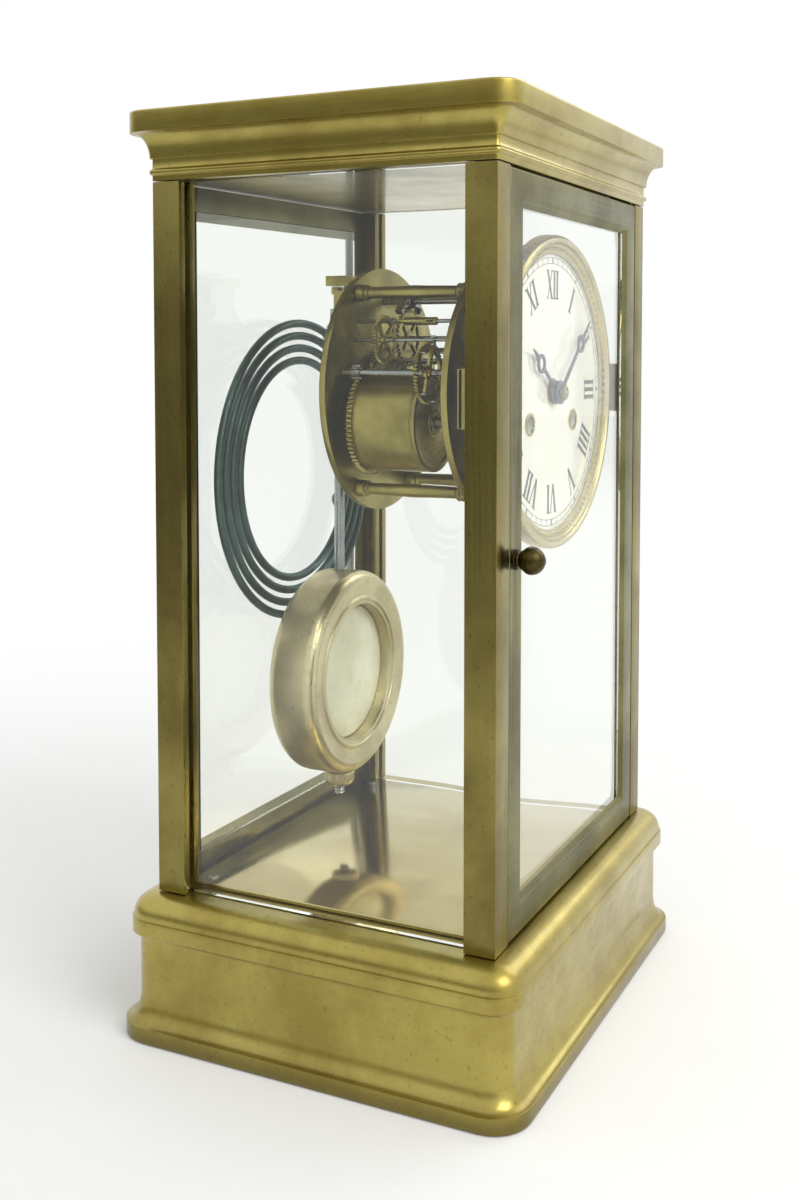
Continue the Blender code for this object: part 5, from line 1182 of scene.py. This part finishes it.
class REGULATOR_OT_trains(bpy.types.Operator):
    """Going and striking trains: crossed wheels, leafed pinions and polished arbors"""

    bl_idname = "regulator.trains"
    bl_label = "Wheel Trains"

    # Body, its wheel's teeth, module, start and mate, its pinion's leaves, module, start, width
    # and driver, and the radius of its arbor
    WHEELS = (
        ("intermediate_wheel", 60, 0.46, -23.5, "centre_wheel", 8, 0.5, 5.6, 2.6, "time_barrel", 1.0),
        ("centre_wheel", 72, 0.36, 9.6, "third_wheel", 10, 0.46, -23.65, 1.3, "intermediate_wheel", 1.0),
        ("third_wheel", 72, 0.32, -20.5, "escape_wheel", 6, 0.36, 9.45, 1.3, "centre_wheel", 0.55),
        ("pin_wheel", 48, 0.38, -16.8, "locking_wheel", 8, 0.5, 5.6, 2.6, "strike_barrel", 1.0),
        ("locking_wheel", 42, 0.34, -1.0, "fly", 6, 0.38, -16.95, 1.3, "pin_wheel", 0.55),
    )

    def execute(self, context):
        for row in self.WHEELS:
            self.wheel(*row)
        self.escape_wheel()
        place = PLACES["fly"]
        x, z = place
        vane = block((x - 6.2, -14.0, z - 0.3), (x + 6.2, -4.5, z + 0.3), 0.12)
        clip = ring(place, 0.5, 1.2, -14.6, -4.0, 24, 0.1)
        piece("fly_vane", [vane, clip], "wheel_brass", "fly", ["strike_fly"])
        self.arbor_piece("fly", 6, 0.34, -1.15, 1.3, "locking_wheel", 0.6)
        teeth, module = self.WHEELS[3][1:3]
        pin_ring = module * teeth / 2 * (1 + RIM_SHARE) / 2
        pins = []
        for number in range(8):
            x, z = around(PLACES["pin_wheel"], pin_ring, 45.0 * number)
            pins.append(rod((x, -18.3, z), (x, -16.3, z), 0.4, 12, 0.1))
        piece("lifting_pins", pins, "burnished_steel", "pin_wheel")
        return {"FINISHED"}

    @staticmethod
    def arbor_piece(body, leaves, module, start, width, driver, radius):
        """A body's arbor with its pinion, set to mesh with the wheel that drives it."""
        place = PLACES[body]
        first = toward(place, PLACES[driver]) + 180.0 / leaves
        pinion = gear(leaves, module, place, start, width, first, wheel=False)
        if body == "centre_wheel":
            # It goes out through the front plate to carry the hands
            shaft = turned([
                (0, -47.6), (0.6, -47.6), (0.8, -47.4), (0.8, -24.9), (radius, -24.7), (radius, 11.5),
                (0.4, 11.7), (0.4, 13.85), (0, 14.0),
            ], place, steps=24)
        else:
            shaft = arbor(place, radius)
        piece(body + "_arbor", [shaft, pinion], "burnished_steel", body)

    def wheel(self, body, teeth, module, start, mate, leaves, leaf_module, pinion_start,
              pinion_width, driver, radius):
        """A wheel on its turned collet, and its arbor."""
        place = PLACES[body]
        node = {"pin_wheel": "strike_pin_wheel", "locking_wheel": "strike_locking_wheel"}.get(body, body)
        rim = gear(teeth, module, place, start, 1.0, toward(place, PLACES[mate]), 4, radius * 1.6)
        low, high, wide = start - 0.9, start + 1.9, radius * 1.7
        collet = turned([
            (0.4, low), (wide * 0.75, low), (wide, low + 0.392), (wide, low + 0.98), (wide * 0.8, high),
            (0.4, high),
        ], place, steps=32, reach=0.08)
        piece(body + "_rim", [rim, collet], "wheel_brass", body, [node])
        self.arbor_piece(body, leaves, leaf_module, pinion_start, pinion_width, driver, radius)

    def escape_wheel(self):
        """The escape wheel, its slim teeth set to the pallets, and its arbor."""
        teeth = 36
        place = PLACES["escape_wheel"]
        outline = [(9.0, -0.5), (8.95, -0.44), (7.75, 0.08), (7.6, 0.18), (7.75, 0.22), (9.0, 0.5)]
        # The pallets span seven and a half teeth about the top
        first = 90.0 + 360.0 / teeth * (7.5 / 2 + 1 / 4 + 1 / 2)
        rim = sector_ring(outline, 6.3, teeth, place, 3.0, first, 1.0)
        hub = ring(place, 0.5, 2.3, 3.0, 4.0, reach=0.08)
        spokes = [
            spoke(place, heading, 2.1, 6.4, 0.62, 0.42, 3.04, 0.92, 0.06)
            for heading in (45, 135, 225, 315)
        ]
        piece("escape_wheel_rim", [rim, hub] + spokes, "wheel_brass", "escape_wheel", ["escape_wheel"])
        self.arbor_piece("escape_wheel", 6, 0.32, -20.65, 1.3, "third_wheel", 0.6)


class REGULATOR_OT_escapement(bpy.types.Operator):
    """Pallet anchor and crutch, the back cock and the suspension"""

    bl_idname = "regulator.escapement"
    bl_label = "Escapement"

    def execute(self, context):
        place = PLACES["pallets"]
        shaft = turned([
            (0, -27.0), (0.4, -26.8), (0.4, -24.7), (0.9, -24.5), (0.92, 22.5), (0.4, 22.7),
            (0.4, 24.4), (0, 24.5),
        ], place, steps=24)
        hubs = [ring(place, 0.5, 2.4, 1.9, 5.1, reach=0.15), ring(place, 0.5, 2.6, 17.8, 19.0, reach=0.12)]
        piece("pallets_and_crutch", [frame_copy("pallet_anchor", 0.1), shaft] + hubs,
              "burnished_steel", "pallets", ["pallet_anchor"])
        shape = frame_copy("back_cock", 0.25, 3)
        piece("back_cock_bridge", [shape], "grained_brass", "case", ["back_cock"])
        cock_back, apart = 15.9, 10.6
        piece("back_cock_screws", [
            screw((side * apart, cock_back, place[1]), (0, 1, 0), 1.5, 0.8, 40 * side)
            for side in (1, -1)
        ], "blued_steel", "case")
        y = PENDULUM_Y
        low, top = [corner.z for corner in cad_box("suspension_spring")]
        chop = block((-2.8, y - 1.2, top - 2.4), (2.8, y + 1.2, top), 0.2)
        pin = rod((0, y - 1.45, top - 1.2), (0, y + 1.45, top - 1.2), 0.45, 16, 0.08)
        piece("suspension_chop", [chop, pin], "grained_brass", "case")
        piece("suspension_blades", [
            block((-0.12, y + near, low), (0.12, y + far, top - 2.2), 0.03)
            for near, far in ((-1.8, -0.55), (0.55, 1.8))
        ], "blued_steel", "case", ["suspension_spring"])
        return {"FINISHED"}


class REGULATOR_OT_pendulum(bpy.types.Operator):
    """Rod, hook, ring bob with its silvered centre, and the knurled rating nut"""

    bl_idname = "regulator.pendulum"
    bl_label = "Pendulum"

    def execute(self, context):
        sizes = context.scene.regulator_pendulum
        radius = mm(sizes.rod_radius)
        self.stem(radius)
        self.bob(mm(sizes.bob_radius), mm(sizes.bob_eye), mm(sizes.bob_thickness) / 2, radius + 0.15)
        low, high = [corner.z for corner in cad_box("rating_nut")]
        nut = turned([
            (1.75, low), (3.9, low), (4.4, low + 0.5), (4.75, low + 1.0), (4.75, low + 1.8),
            (4.75, high - 1.6), (4.75, high - 0.9), (4.3, high - 0.5), (2.9, high - 0.3), (2.7, high),
            (1.75, high),
        ], (0, PENDULUM_Y), "Z", steps=96)
        knurled(nut, (0, PENDULUM_Y, 0), 2, 4.5, 0.16, 32)
        piece("knurled_rating_nut", [nut], "turned_bob_brass", "rating_nut", ["rating_nut"])
        return {"FINISHED"}

    @staticmethod
    def stem(radius):
        """The rod, threaded at its foot, with the slotted hook and its pin at the top."""
        y = PENDULUM_Y
        low, high = [corner.z for corner in cad_box("pendulum_rod")]
        profile = [(0, low), (1.1, low), (radius - 0.15, low + 0.4)]
        for step in range(9):
            thread = low + 0.6 + step * 0.9
            profile += [(radius, thread), (radius - 0.22, thread + 0.45)]
        profile += [(radius, low + 9.2), (radius, high - 6.2), (2.3, high - 5.6), (2.3, high - 4.6),
                    (1.7, high - 4.3), (1.7, high - 3.6), (0, high - 3.6)]
        collar = turned([
            (0, high - 4.2), (2.55, high - 4.2), (2.8, high - 3.8), (2.8, high - 0.3), (2.5, high),
            (0, high),
        ], (0, y), "Z", steps=32)
        slot = block((-0.75, y - 4, high - 2.8), (0.75, y + 4, high + 1), 0.01)
        pin = rod((-3.0, y, high - 1.1), (3.0, y, high - 1.1), 0.4, 16, 0.08)
        shapes = [turned(profile, (0, y), "Z", steps=32), drilled(collar, [slot]), pin]
        piece("pendulum_stem", shapes, "burnished_steel", "pendulum", ["pendulum_rod"])

    @staticmethod
    def bob(outer, eye, half, bore):
        """The ring and the domed disc in its eye, both drilled for the rod."""
        y = PENDULUM_Y
        side = [(eye, 0.0), (eye, half - 1.5), (eye + 0.4, half - 0.6), (eye + 1.5, half - 0.6)]
        side += arc((eye + 2.2, half - 0.5), (0.7, 0.5), 180, 20, 5)[1:]
        side += [(eye + 3.1, half - 0.5), (outer - 4.2, half - 0.1), (outer - 3.6, half)]
        side += arc((outer - 3.4, half - 3.4), (3.4, 3.4), 88, 0, 10)
        face = eye - 0.3
        dome = []
        for step in range(12):
            share = step / 12
            lift = 4.0 + 3.0 * math.cos(math.radians(90 * share)) ** 0.8
            # Two turned grooves
            dome.append((face * share, lift - (0.16 if step in (4, 8) else 0.0)))
        dome.append((face, 3.7))
        for name, half_profile, steps, reach, finish_name, node in (
            ("ring_bob", side, 160, 0.12, "turned_bob_brass", "pendulum_bob"),
            ("bob_silvered_centre", dome, 128, 0.0, "silvered_brass", "bob_centre"),
        ):
            profile = [(r, y + h) for r, h in half_profile]
            profile += [(r, y - h) for r, h in reversed(half_profile)]
            shape = turned(profile, BOB_PLACE, steps=steps, reach=reach)
            drill = rod((0, y, 60), (0, y, 140), bore, 32)
            piece(name, [drilled(shape, [drill])], finish_name, "pendulum", [node])


class REGULATOR_OT_gong(bpy.types.Operator):
    """Coiled gong on its block, and the hammer beside it"""

    bl_idname = "regulator.gong"
    bl_label = "Gong and Hammer"

    def execute(self, context):
        sizes = context.scene.regulator_pendulum
        outer, inner, wire = mm(sizes.gong_outer), mm(sizes.gong_inner), mm(sizes.gong_wire)
        piece("coiled_gong", [self.coil(outer, inner, wire, sizes.gong_turns)],
              "oil_blackened_steel", "case", ["gong"])
        y, seat, half = GONG_Y, 2.0, 3.0
        x, z = around(GONG_PLACE, outer + seat, GONG_BLOCK_HEADING)
        body = block((-half * 1.2, -half, -half), (half * 1.2, half, half), 0.5, 3)
        turn = Matrix.Rotation(-math.radians(GONG_BLOCK_HEADING), 4, "Y")
        moved(body, Matrix.Translation((x, y, z)) @ turn)
        post = turned([
            (0, 14.3), (3.0, 14.3), (3.0, 16.0), (2.4, 16.8), (2.4, y - 3.4), (2.9, y - 3.1),
            (0, y - half),
        ], (x, z), steps=32, reach=0.15)
        piece("gong_block", [body, post], "burnished_steel", "case", ["gong_stand"])
        head = screw((x, y + half, z), (0, 1, 0), 1.9, 1.1, 20)
        piece("gong_block_screw", [head], "blued_steel", "case")
        self.hammer(outer + wire)
        return {"FINISHED"}

    @staticmethod
    def coil(outer, inner, wire, turns):
        """The gong's wire, coiled inward from one side of its block to the other."""
        steps = 72
        count = turns * steps
        # Half of the gap that the block takes up in the outer turn
        block_half = math.degrees(3.3 / outer)
        curve = bpy.data.curves.new("gong", "CURVE")
        curve.dimensions = "3D"
        curve.bevel_depth = wire
        curve.bevel_resolution = 4
        curve.use_fill_caps = True
        spline = curve.splines.new("POLY")
        spline.points.add(count)
        for number, point in enumerate(spline.points):
            share = number / count
            heading = GONG_BLOCK_HEADING + block_half + (360.0 * turns - 2 * block_half) * share
            x, z = around(GONG_PLACE, outer + (inner - outer) * share, heading)
            point.co = (x, GONG_Y, z, 1)
        holder = new_object("work", curve)
        shape = evaluated(holder)
        bpy.data.objects.remove(holder)
        bpy.data.curves.remove(curve)
        return closed_up(shape)

    @staticmethod
    def hammer(gong_edge):
        """The hammer's arbor and arm, and its turned head, which rests beside the gong."""
        gap, radius = 0.8, 3.2
        place = PLACES["hammer"]
        x, z = place
        head_place = around(GONG_PLACE, gong_edge + gap + radius, HAMMER_HEADING)
        shaft = turned([
            (0, -27.0), (0.4, -26.8), (0.4, -24.8), (0.9, -24.6), (0.9, 36.8), (0.6, 37.0), (0, 37.0),
        ], place, steps=24)
        hub = ring(place, 0.5, 2.2, 34.8, 39.2, reach=0.3)
        arm = rod((x, 37.0, z), (head_place[0], 37.0, head_place[1]), 0.9, 20)
        piece("hammer_arm", [shaft, hub, arm], "burnished_steel", "hammer", ["hammer"])
        head = turned([
            (0, 34.8), (2.4, 34.8), (radius, 35.6), (radius, 40.6), (2.7, 41.0), (radius, 41.4),
            (radius, 44.0), (2.5, 44.8), (0, 44.8),
        ], head_place, steps=40, reach=0.15)
        piece("hammer_head", [head], "wheel_brass", "hammer")


class REGULATOR_OT_dial(bpy.types.Operator):
    """Enamel dial with its numerals and minute track, and the pearled bezel"""

    bl_idname = "regulator.dial"
    bl_label = "Dial and Bezel"

    def execute(self, context):
        sizes = context.scene.regulator_movement
        radius = mm(sizes.dial_radius)
        disc = turned([
            (0, DIAL_FACE), (radius - 1.2, DIAL_FACE), (radius - 0.3, -43.05), (radius, -42.7),
            (radius, DIAL_BACK), (0, DIAL_BACK),
        ], MOVEMENT, steps=160)
        winding = [PLACES["time_barrel"], PLACES["strike_barrel"]]
        drills = [ring(MOVEMENT, 0, HANDS_HOLE, -44, -41, 64)]
        drills += [ring(place, 0, WINDING_HOLE, -44, -41, 48) for place in winding]
        piece("enamel_dial", [drilled(disc, drills)], "fired_white_enamel", "case", ["dial"])
        piece("dial_grommets", [
            turned([(bore, -43.1), (bore, -43.5), (bore + 0.25, -43.62), (bore + 0.7, -43.5),
                    (bore + 0.75, -43.1)], place, steps=64)
            for bore, place in (
                (HANDS_HOLE - 0.15, MOVEMENT), (WINDING_HOLE - 0.25, winding[0]),
                (WINDING_HOLE - 0.25, winding[1]),
            )
        ], "spun_bezel_brass", "case")
        piece("dial_figures", self.numerals(sizes) + self.minutes(sizes), "fired_black_enamel", "case")
        profile = [(41.4, -44.1), (41.4, -43.5), (43.9, -43.5), (43.9, -41.8), (46.4, -41.8),
                   (47.0, -42.3), (47.0, -44.4)]
        profile += arc((45.4, -44.4), (1.6, -1.7), 0, 90, 8)[1:]
        profile += [(44.9, -46.0), (44.5, -45.6), (44.3, -44.9), (43.6, -44.5), (42.3, -44.35)]
        piece("spun_bezel", [turned(profile, MOVEMENT, steps=160, reach=0.08)],
              "spun_bezel_brass", "case", ["dial_bezel"])
        pearls = bmesh.new()
        for number in range(sizes.pearls):
            x, z = around(MOVEMENT, 43.0, 360.0 * number / sizes.pearls)
            bmesh.ops.create_icosphere(
                pearls, subdivisions=1, radius=0.56, matrix=Matrix.Translation((x, -44.55, z)),
            )
        for face in pearls.faces:
            face.smooth = True
        piece("bezel_pearls", [pearls], "spun_bezel_brass", "case")
        return {"FINISHED"}

    @staticmethod
    def numerals(sizes):
        """Hour numerals of thick and thin strokes with serifs, standing on the dial's middle."""
        middle, half = mm(sizes.numeral_radius), mm(sizes.numeral_height) / 2
        thick, thin, serif = 1.25, 0.48, 0.34

        def slope(top, bottom, width):
            return [[(bottom - width / 2, -half), (bottom + width / 2, -half),
                     (top + width / 2, half), (top - width / 2, half)]]

        def foot(x, reach, end):
            edge, inside = end * half, end * (half - serif)
            return [[(x - reach, edge), (x + reach, edge), (x + reach, inside), (x - reach, inside)]]

        # Each letter's width and strokes
        letters = {
            "I": (2.35, slope(0, 0, thick) + foot(0, thick / 2 + 0.55, -1) + foot(0, thick / 2 + 0.55, 1)),
            "V": (5.4, slope(-1.9, 0.1, thick) + slope(1.9, 0.1, thin) + foot(-1.9, 1.15, 1)
                  + foot(1.9, 0.75, 1)),
            "X": (5.2, slope(-1.7, 1.7, thick) + slope(1.7, -1.7, thin) + foot(-1.7, 1.1, 1)
                  + foot(1.7, 0.7, 1) + foot(1.7, 1.1, -1) + foot(-1.7, 0.7, -1)),
        }
        hours = ("XII", "I", "II", "III", "IIII", "V", "VI", "VII", "VIII", "IX", "X", "XI")
        shapes = []
        for hour, figures in enumerate(hours):
            x = -sum(letters[kind][0] for kind in figures) / 2
            for kind in figures:
                width, strokes = letters[kind]
                x += width / 2
                for stroke in strokes:
                    outline = [(middle + up, -x - across) for across, up in stroke]
                    shapes.append(plate(outline, DIAL_FACE - 0.05, 0.08, 0.0, MOVEMENT, 90 - 30 * hour))
                x += width / 2
        return shapes

    @staticmethod
    def minutes(sizes):
        """Railway minute track: two fine rings with a bar at each minute."""
        middle = mm(sizes.minute_radius)
        shapes = [
            ring(MOVEMENT, radius, radius + 0.2, DIAL_FACE - 0.04, DIAL_FACE + 0.1, 180)
            for radius in (middle - 1.0, middle + 0.8)
        ]
        for minute in range(60):
            half = 0.12 if minute % 5 else 0.42
            shapes.append(spoke(
                MOVEMENT, 90 - 6 * minute, middle - 0.9, middle + 0.9, half, half, DIAL_FACE - 0.03, 0.06,
            ))
        return shapes


class REGULATOR_OT_dial_plate(bpy.types.Operator):
    """Plate behind the dial, its feet to the movement and its ears at the front posts"""

    bl_idname = "regulator.dial_plate"
    bl_label = "Dial Plate"

    def execute(self, context):
        z = MOVEMENT[1]
        ear_half, screw_reach, screw_rise = 8.0, 52.0, 4.6
        low, high = cad_box("dial_back_plate")
        disc = ring(MOVEMENT, 0, 45.0, CARRIER_FACE, CARRIER_BACK, 128, 0.2)
        drills = [ring(MOVEMENT, 0, HANDS_HOLE, -42, -39, 48)]
        drills += [ring(PLACES[side + "_barrel"], 0, WINDING_HOLE, -42, -39) for side in ("time", "strike")]
        shapes = [drilled(disc, drills)]
        screws = []
        for side in (1, -1):
            for near, front, back in ((42.0, CARRIER_FACE, CARRIER_BACK), (high.x - 2.4, low.y, -40.2)):
                ends = sorted((side * near, side * high.x))
                shapes.append(block((ends[0], front, z - ear_half), (ends[1], back, z + ear_half), 0.25))
            for rise in (-screw_rise, screw_rise):
                spot = (side * screw_reach, CARRIER_BACK - 0.05, z + rise)
                screws.append(screw(spot, (0, 1, 0), 1.7, 0.9, 25 * rise))
        foot = [(0, -40.4), (2.3, -40.4), (2.3, -39.0), (1.7, -38.4), (1.6, -33.8), (1.7, -28.9),
                (2.0, -28.3), (2.0, -27.3), (0, -27.3)]
        for heading in (45, 135, 225, 315):
            shapes.append(turned(foot, around(MOVEMENT, 35.4, heading), steps=32, reach=0.1))
        piece("dial_carrier", shapes, "grained_brass", "case", ["dial_back_plate"])
        piece("dial_ear_screws", screws, "blued_steel", "case")
        return {"FINISHED"}


class REGULATOR_OT_hands(bpy.types.Operator):
    """Blued hands with open eyes, the motion work and the hand nut"""

    bl_idname = "regulator.hands"
    bl_label = "Hands and Motion Work"

    def execute(self, context):
        # Eight minutes past ten, as turns clockwise from the twelve
        hour_turn, minute_turn = 305, 50
        self.hand("hour_hand", 23.0, -44.8, 2.8, 90 - hour_turn)
        self.hand("minute_hand", 34.5, -46.0, 1.8, 90 - minute_turn)
        module = 0.45
        hour_module = module * 48 / 50
        place = PLACES["minute_wheel"]
        to_minute, from_minute = toward(MOVEMENT, place), toward(place, MOVEMENT)
        pipe = turned([(1.1, -46.3), (1.4, -46.3), (1.5, -46.1), (1.5, -28.2), (1.1, -28.2)], MOVEMENT,
                      steps=32)
        leaf = tooth([(module * 4.85, 0.5), (module * 4.85, 0.20), (module * 6, 0.15), (module * 6.5, 0.06)])
        cannon = sector_ring(leaf, 1.3, 12, MOVEMENT, -30.4, to_minute + 15, 1.8)
        piece("cannon_pipe", [pipe, cannon], "burnished_steel", "minute_hand", ["cannon_pinion"])
        wheel = gear(36, module, place, -30.0, 1.0, from_minute, windows=4, hub=1.8)
        pinion = gear(10, hour_module, place, -33.4, 1.8, from_minute + 18, wheel=False)
        stud = turned([(0, -34.8), (0.9, -34.8), (1.0, -34.5), (1.0, -27.3), (0, -27.3)], place, steps=24)
        piece("minute_wheel_rim", [wheel, pinion, stud], "wheel_brass", "minute_wheel", ["minute_wheel"])
        hour = gear(40, hour_module, MOVEMENT, -33.0, 1.0, to_minute, windows=5, hub=2.9)
        tube = turned([(1.8, -45.1), (2.3, -45.1), (2.5, -44.9), (2.5, -32.4), (1.8, -32.4)], MOVEMENT,
                      steps=32)
        piece("hour_wheel_rim", [hour, tube], "wheel_brass", "hour_hand", ["hour_wheel"])
        low, high = [corner.y for corner in cad_box("hand_nut")]
        nut = turned([
            (1.15, high), (2.1, high), (2.2, high - 0.15), (2.1, low + 0.2), (1.7, low), (1.15, low),
        ], MOVEMENT, steps=48)
        knurled(nut, (MOVEMENT[0], 0, MOVEMENT[1]), 1, 2.0, 0.06, 24)
        piece("collet_nut", [nut], "wheel_brass", "minute_hand", ["hand_nut"])
        return {"FINISHED"}

    @staticmethod
    def hand(node, reach, front, bore, heading):
        """A hand pointing at its heading: collet, slim stem, open moon and point."""
        eye = reach * 0.66
        back = front + HAND_THICKNESS
        stem = [(3.2, 0.72), (3.2, -0.72), (eye - 2.5, -0.48), (eye - 2.5, 0.48)]
        point = [(eye + 2.5, 1.15), (eye + 2.5, -1.15), (eye + 4.0, -0.55), (reach, 0), (eye + 4.0, 0.55)]
        shapes = [
            turned([(bore, front), (3.4, front), (3.6, front + 0.2), (3.6, back), (bore, back)],
                   reach=0.08),
            plate(stem, front, HAND_THICKNESS, 0.14),
            ring((eye, 0), 1.9, 2.85, front, back, 64, 0.16),
            plate(point, front, HAND_THICKNESS, 0.14),
        ]
        turn = Matrix.Rotation(-math.radians(heading), 4, "Y")
        turn = Matrix.Translation((MOVEMENT[0], 0, MOVEMENT[1])) @ turn
        piece("blued_" + node, [moved(shape, turn) for shape in shapes], "blued_steel", node, [node])


# Stage

def into_room(tree, vector, start, end):
    """How far a direction or place lies towards the dim room: 0 at start, and 1 at end."""
    dot = add_node(tree, "ShaderNodeVectorMath", {"operation": "DOT_PRODUCT"}, {
        0: vector, 1: ROOM_WAY,
    }).outputs["Value"]
    return remap(tree, dot, start, end, kind="SMOOTHSTEP")


def mirrored(tree, path, share):
    """The share for the rays that metal mirrors, and 0 for those that go through glass."""
    rays = maths(tree, "SUBTRACT", path["Is Glossy Ray"], path["Is Transmission Ray"], clamp=True)
    return maths(tree, "MULTIPLY", share, rays)


class REGULATOR_OT_stage(bpy.types.Operator):
    """White table and backdrop, soft lamps and the camera"""

    bl_idname = "regulator.stage"
    bl_label = "Stage"

    def execute(self, context):
        stage = context.scene.regulator_stage
        context.scene.view_settings.view_transform = "Standard"
        self.floor(stage)
        self.world(context, stage)
        self.lamps()
        self.camera(context, stage)
        return {"FINISHED"}

    @staticmethod
    def floor(stage):
        """The table top: it takes the clock's shadow, and is white to the camera."""
        shape = bmesh.new()
        bmesh.ops.create_grid(shape, x_segments=8, y_segments=8, size=4.0)
        mesh = new_mesh("table_top", shape)
        table = new_object("table_top", mesh)
        made, tree, shader, place = new_material("matt_white_table")
        mottle = noise(tree, place, 1000 / 60, 2.0)
        feed(tree, shader, {
            "Base Color": blend(tree, mottle, rgba(stage.floor), rgba(stage.floor, 0.98)),
            "Roughness": 0.9, "Specular IOR Level": 0.1,
        })
        path = add_node(tree, "ShaderNodeLightPath").outputs
        seen = maths(tree, "MAXIMUM", path["Is Camera Ray"], path["Is Transmission Ray"])
        reach = add_node(tree, "ShaderNodeVectorMath", {"operation": "LENGTH"}, {0: place}).outputs["Value"]
        away = remap(tree, reach, 0.10, 0.60, 0.12, 1.0, "SMOOTHSTEP")
        glow = add_node(tree, "ShaderNodeEmission", values={"Color": rgba(stage.backdrop)}).outputs[0]
        both = blend_shaders(tree, maths(tree, "MULTIPLY", seen, away), shader.outputs["BSDF"], glow)
        # In the metal's reflections the table ends on the near side, where the dim room begins
        room = mirrored(tree, path, into_room(tree, place, 0.30, 0.80))
        dim = add_node(tree, "ShaderNodeEmission", values={"Color": ROOM_COLOUR}).outputs[0]
        show(tree, blend_shaders(tree, room, both, dim))
        mesh.materials.append(made)

    @staticmethod
    def world(context, stage):
        """A white backdrop, and for the metal a dim room beyond the table on the near side."""
        world = bpy.data.worlds.new("white_studio")
        context.scene.world = world
        world.use_nodes = True
        tree = world.node_tree
        way = add_node(tree, "ShaderNodeTexCoord").outputs["Generated"]
        low = remap(tree, axes_of(tree, way)["Z"], 0.40, 0.12, kind="SMOOTHSTEP")
        dim = maths(tree, "MULTIPLY", into_room(tree, way, 0.15, 0.75), low)
        path = add_node(tree, "ShaderNodeLightPath").outputs
        feed(tree, tree.nodes["Background"], {
            "Color": blend(tree, mirrored(tree, path, dim), rgba(stage.backdrop), ROOM_COLOUR),
            "Strength": remap(tree, path["Is Diffuse Ray"], 0.0, 1.0, 1.0, 0.72),
        })

    @staticmethod
    def lamps():
        """Two soft lamps at a plain level: a key from the front left and a fill from the right."""
        aim = Vector((0, 0, 0.12))
        for name, place, size, power in (
            ("key_softbox", (-0.5, -1.3, 1.2), 1.1, 17.0), ("fill_softbox", (1.1, -0.7, 1.1), 1.0, 6.0),
        ):
            light = bpy.data.lights.new(name, "AREA")
            light.shape = "SQUARE"
            light.size = size
            light.energy = power
            lamp = new_object(name, light)
            lamp.location = place
            lamp.rotation_euler = (aim - Vector(place)).to_track_quat("-Z", "Y").to_euler()

    @staticmethod
    def camera(context, stage):
        """The camera at the photograph's angle."""
        data = bpy.data.cameras.new("camera")
        data.sensor_fit = "VERTICAL"
        data.sensor_height = 36.0
        data.sensor_width = 24.0
        data.lens = stage.lens
        data.shift_y = stage.shift
        data.clip_start = 0.01
        camera = new_object("camera", data)
        camera.location = stage.camera
        flat = math.cos(stage.tilt)
        look = Vector((flat * math.sin(stage.heading), flat * math.cos(stage.heading), math.sin(stage.tilt)))
        camera.rotation_euler = look.to_track_quat("-Z", "Y").to_euler()
        context.scene.camera = camera


class REGULATOR_PT_pieces(bpy.types.Panel):
    """Lists the clock's pieces in the sidebar"""

    bl_idname = "REGULATOR_PT_pieces"
    bl_label = "Crystal Regulator"
    bl_space_type = "VIEW_3D"
    bl_region_type = "UI"
    bl_category = "Regulator"

    def draw(self, context):
        for operator in OPERATORS:
            self.layout.operator(operator.bl_idname)
        for name in GROUPS:
            group = getattr(context.scene, name)
            area = self.layout.box()
            for entry in group.bl_rna.properties:
                if entry.identifier not in ("rna_type", "name"):
                    area.prop(group, entry.identifier)


GROUPS = {
    "regulator_case": RegulatorCase, "regulator_movement": RegulatorMovement,
    "regulator_pendulum": RegulatorPendulum, "regulator_finishes": RegulatorFinishes,
    "regulator_stage": RegulatorStage,
}
OPERATORS = (
    REGULATOR_OT_stage, REGULATOR_OT_base, REGULATOR_OT_crown, REGULATOR_OT_posts,
    REGULATOR_OT_post_screws, REGULATOR_OT_floor, REGULATOR_OT_glass, REGULATOR_OT_doors,
    REGULATOR_OT_latches, REGULATOR_OT_plates, REGULATOR_OT_barrels, REGULATOR_OT_trains,
    REGULATOR_OT_escapement, REGULATOR_OT_pendulum, REGULATOR_OT_gong, REGULATOR_OT_dial,
    REGULATOR_OT_dial_plate, REGULATOR_OT_hands,
)


def register():
    """Register the settings, the operators and the panel."""
    for group in GROUPS.values():
        bpy.utils.register_class(group)
    for name, group in GROUPS.items():
        setattr(bpy.types.Scene, name, PointerProperty(type=group))
    for operator in OPERATORS:
        bpy.utils.register_class(operator)
    bpy.utils.register_class(REGULATOR_PT_pieces)


def unregister():
    """Take away what register() added."""
    bpy.utils.unregister_class(REGULATOR_PT_pieces)
    for operator in reversed(OPERATORS):
        bpy.utils.unregister_class(operator)
    for name in GROUPS:
        delattr(bpy.types.Scene, name)
    for group in GROUPS.values():
        bpy.utils.unregister_class(group)


def main():
    """Make the stage and every piece in order."""
    register()
    for operator in OPERATORS:
        group, name = operator.bl_idname.split(".")
        getattr(getattr(bpy.ops, group), name)()


if __name__ == "__main__":
    main()
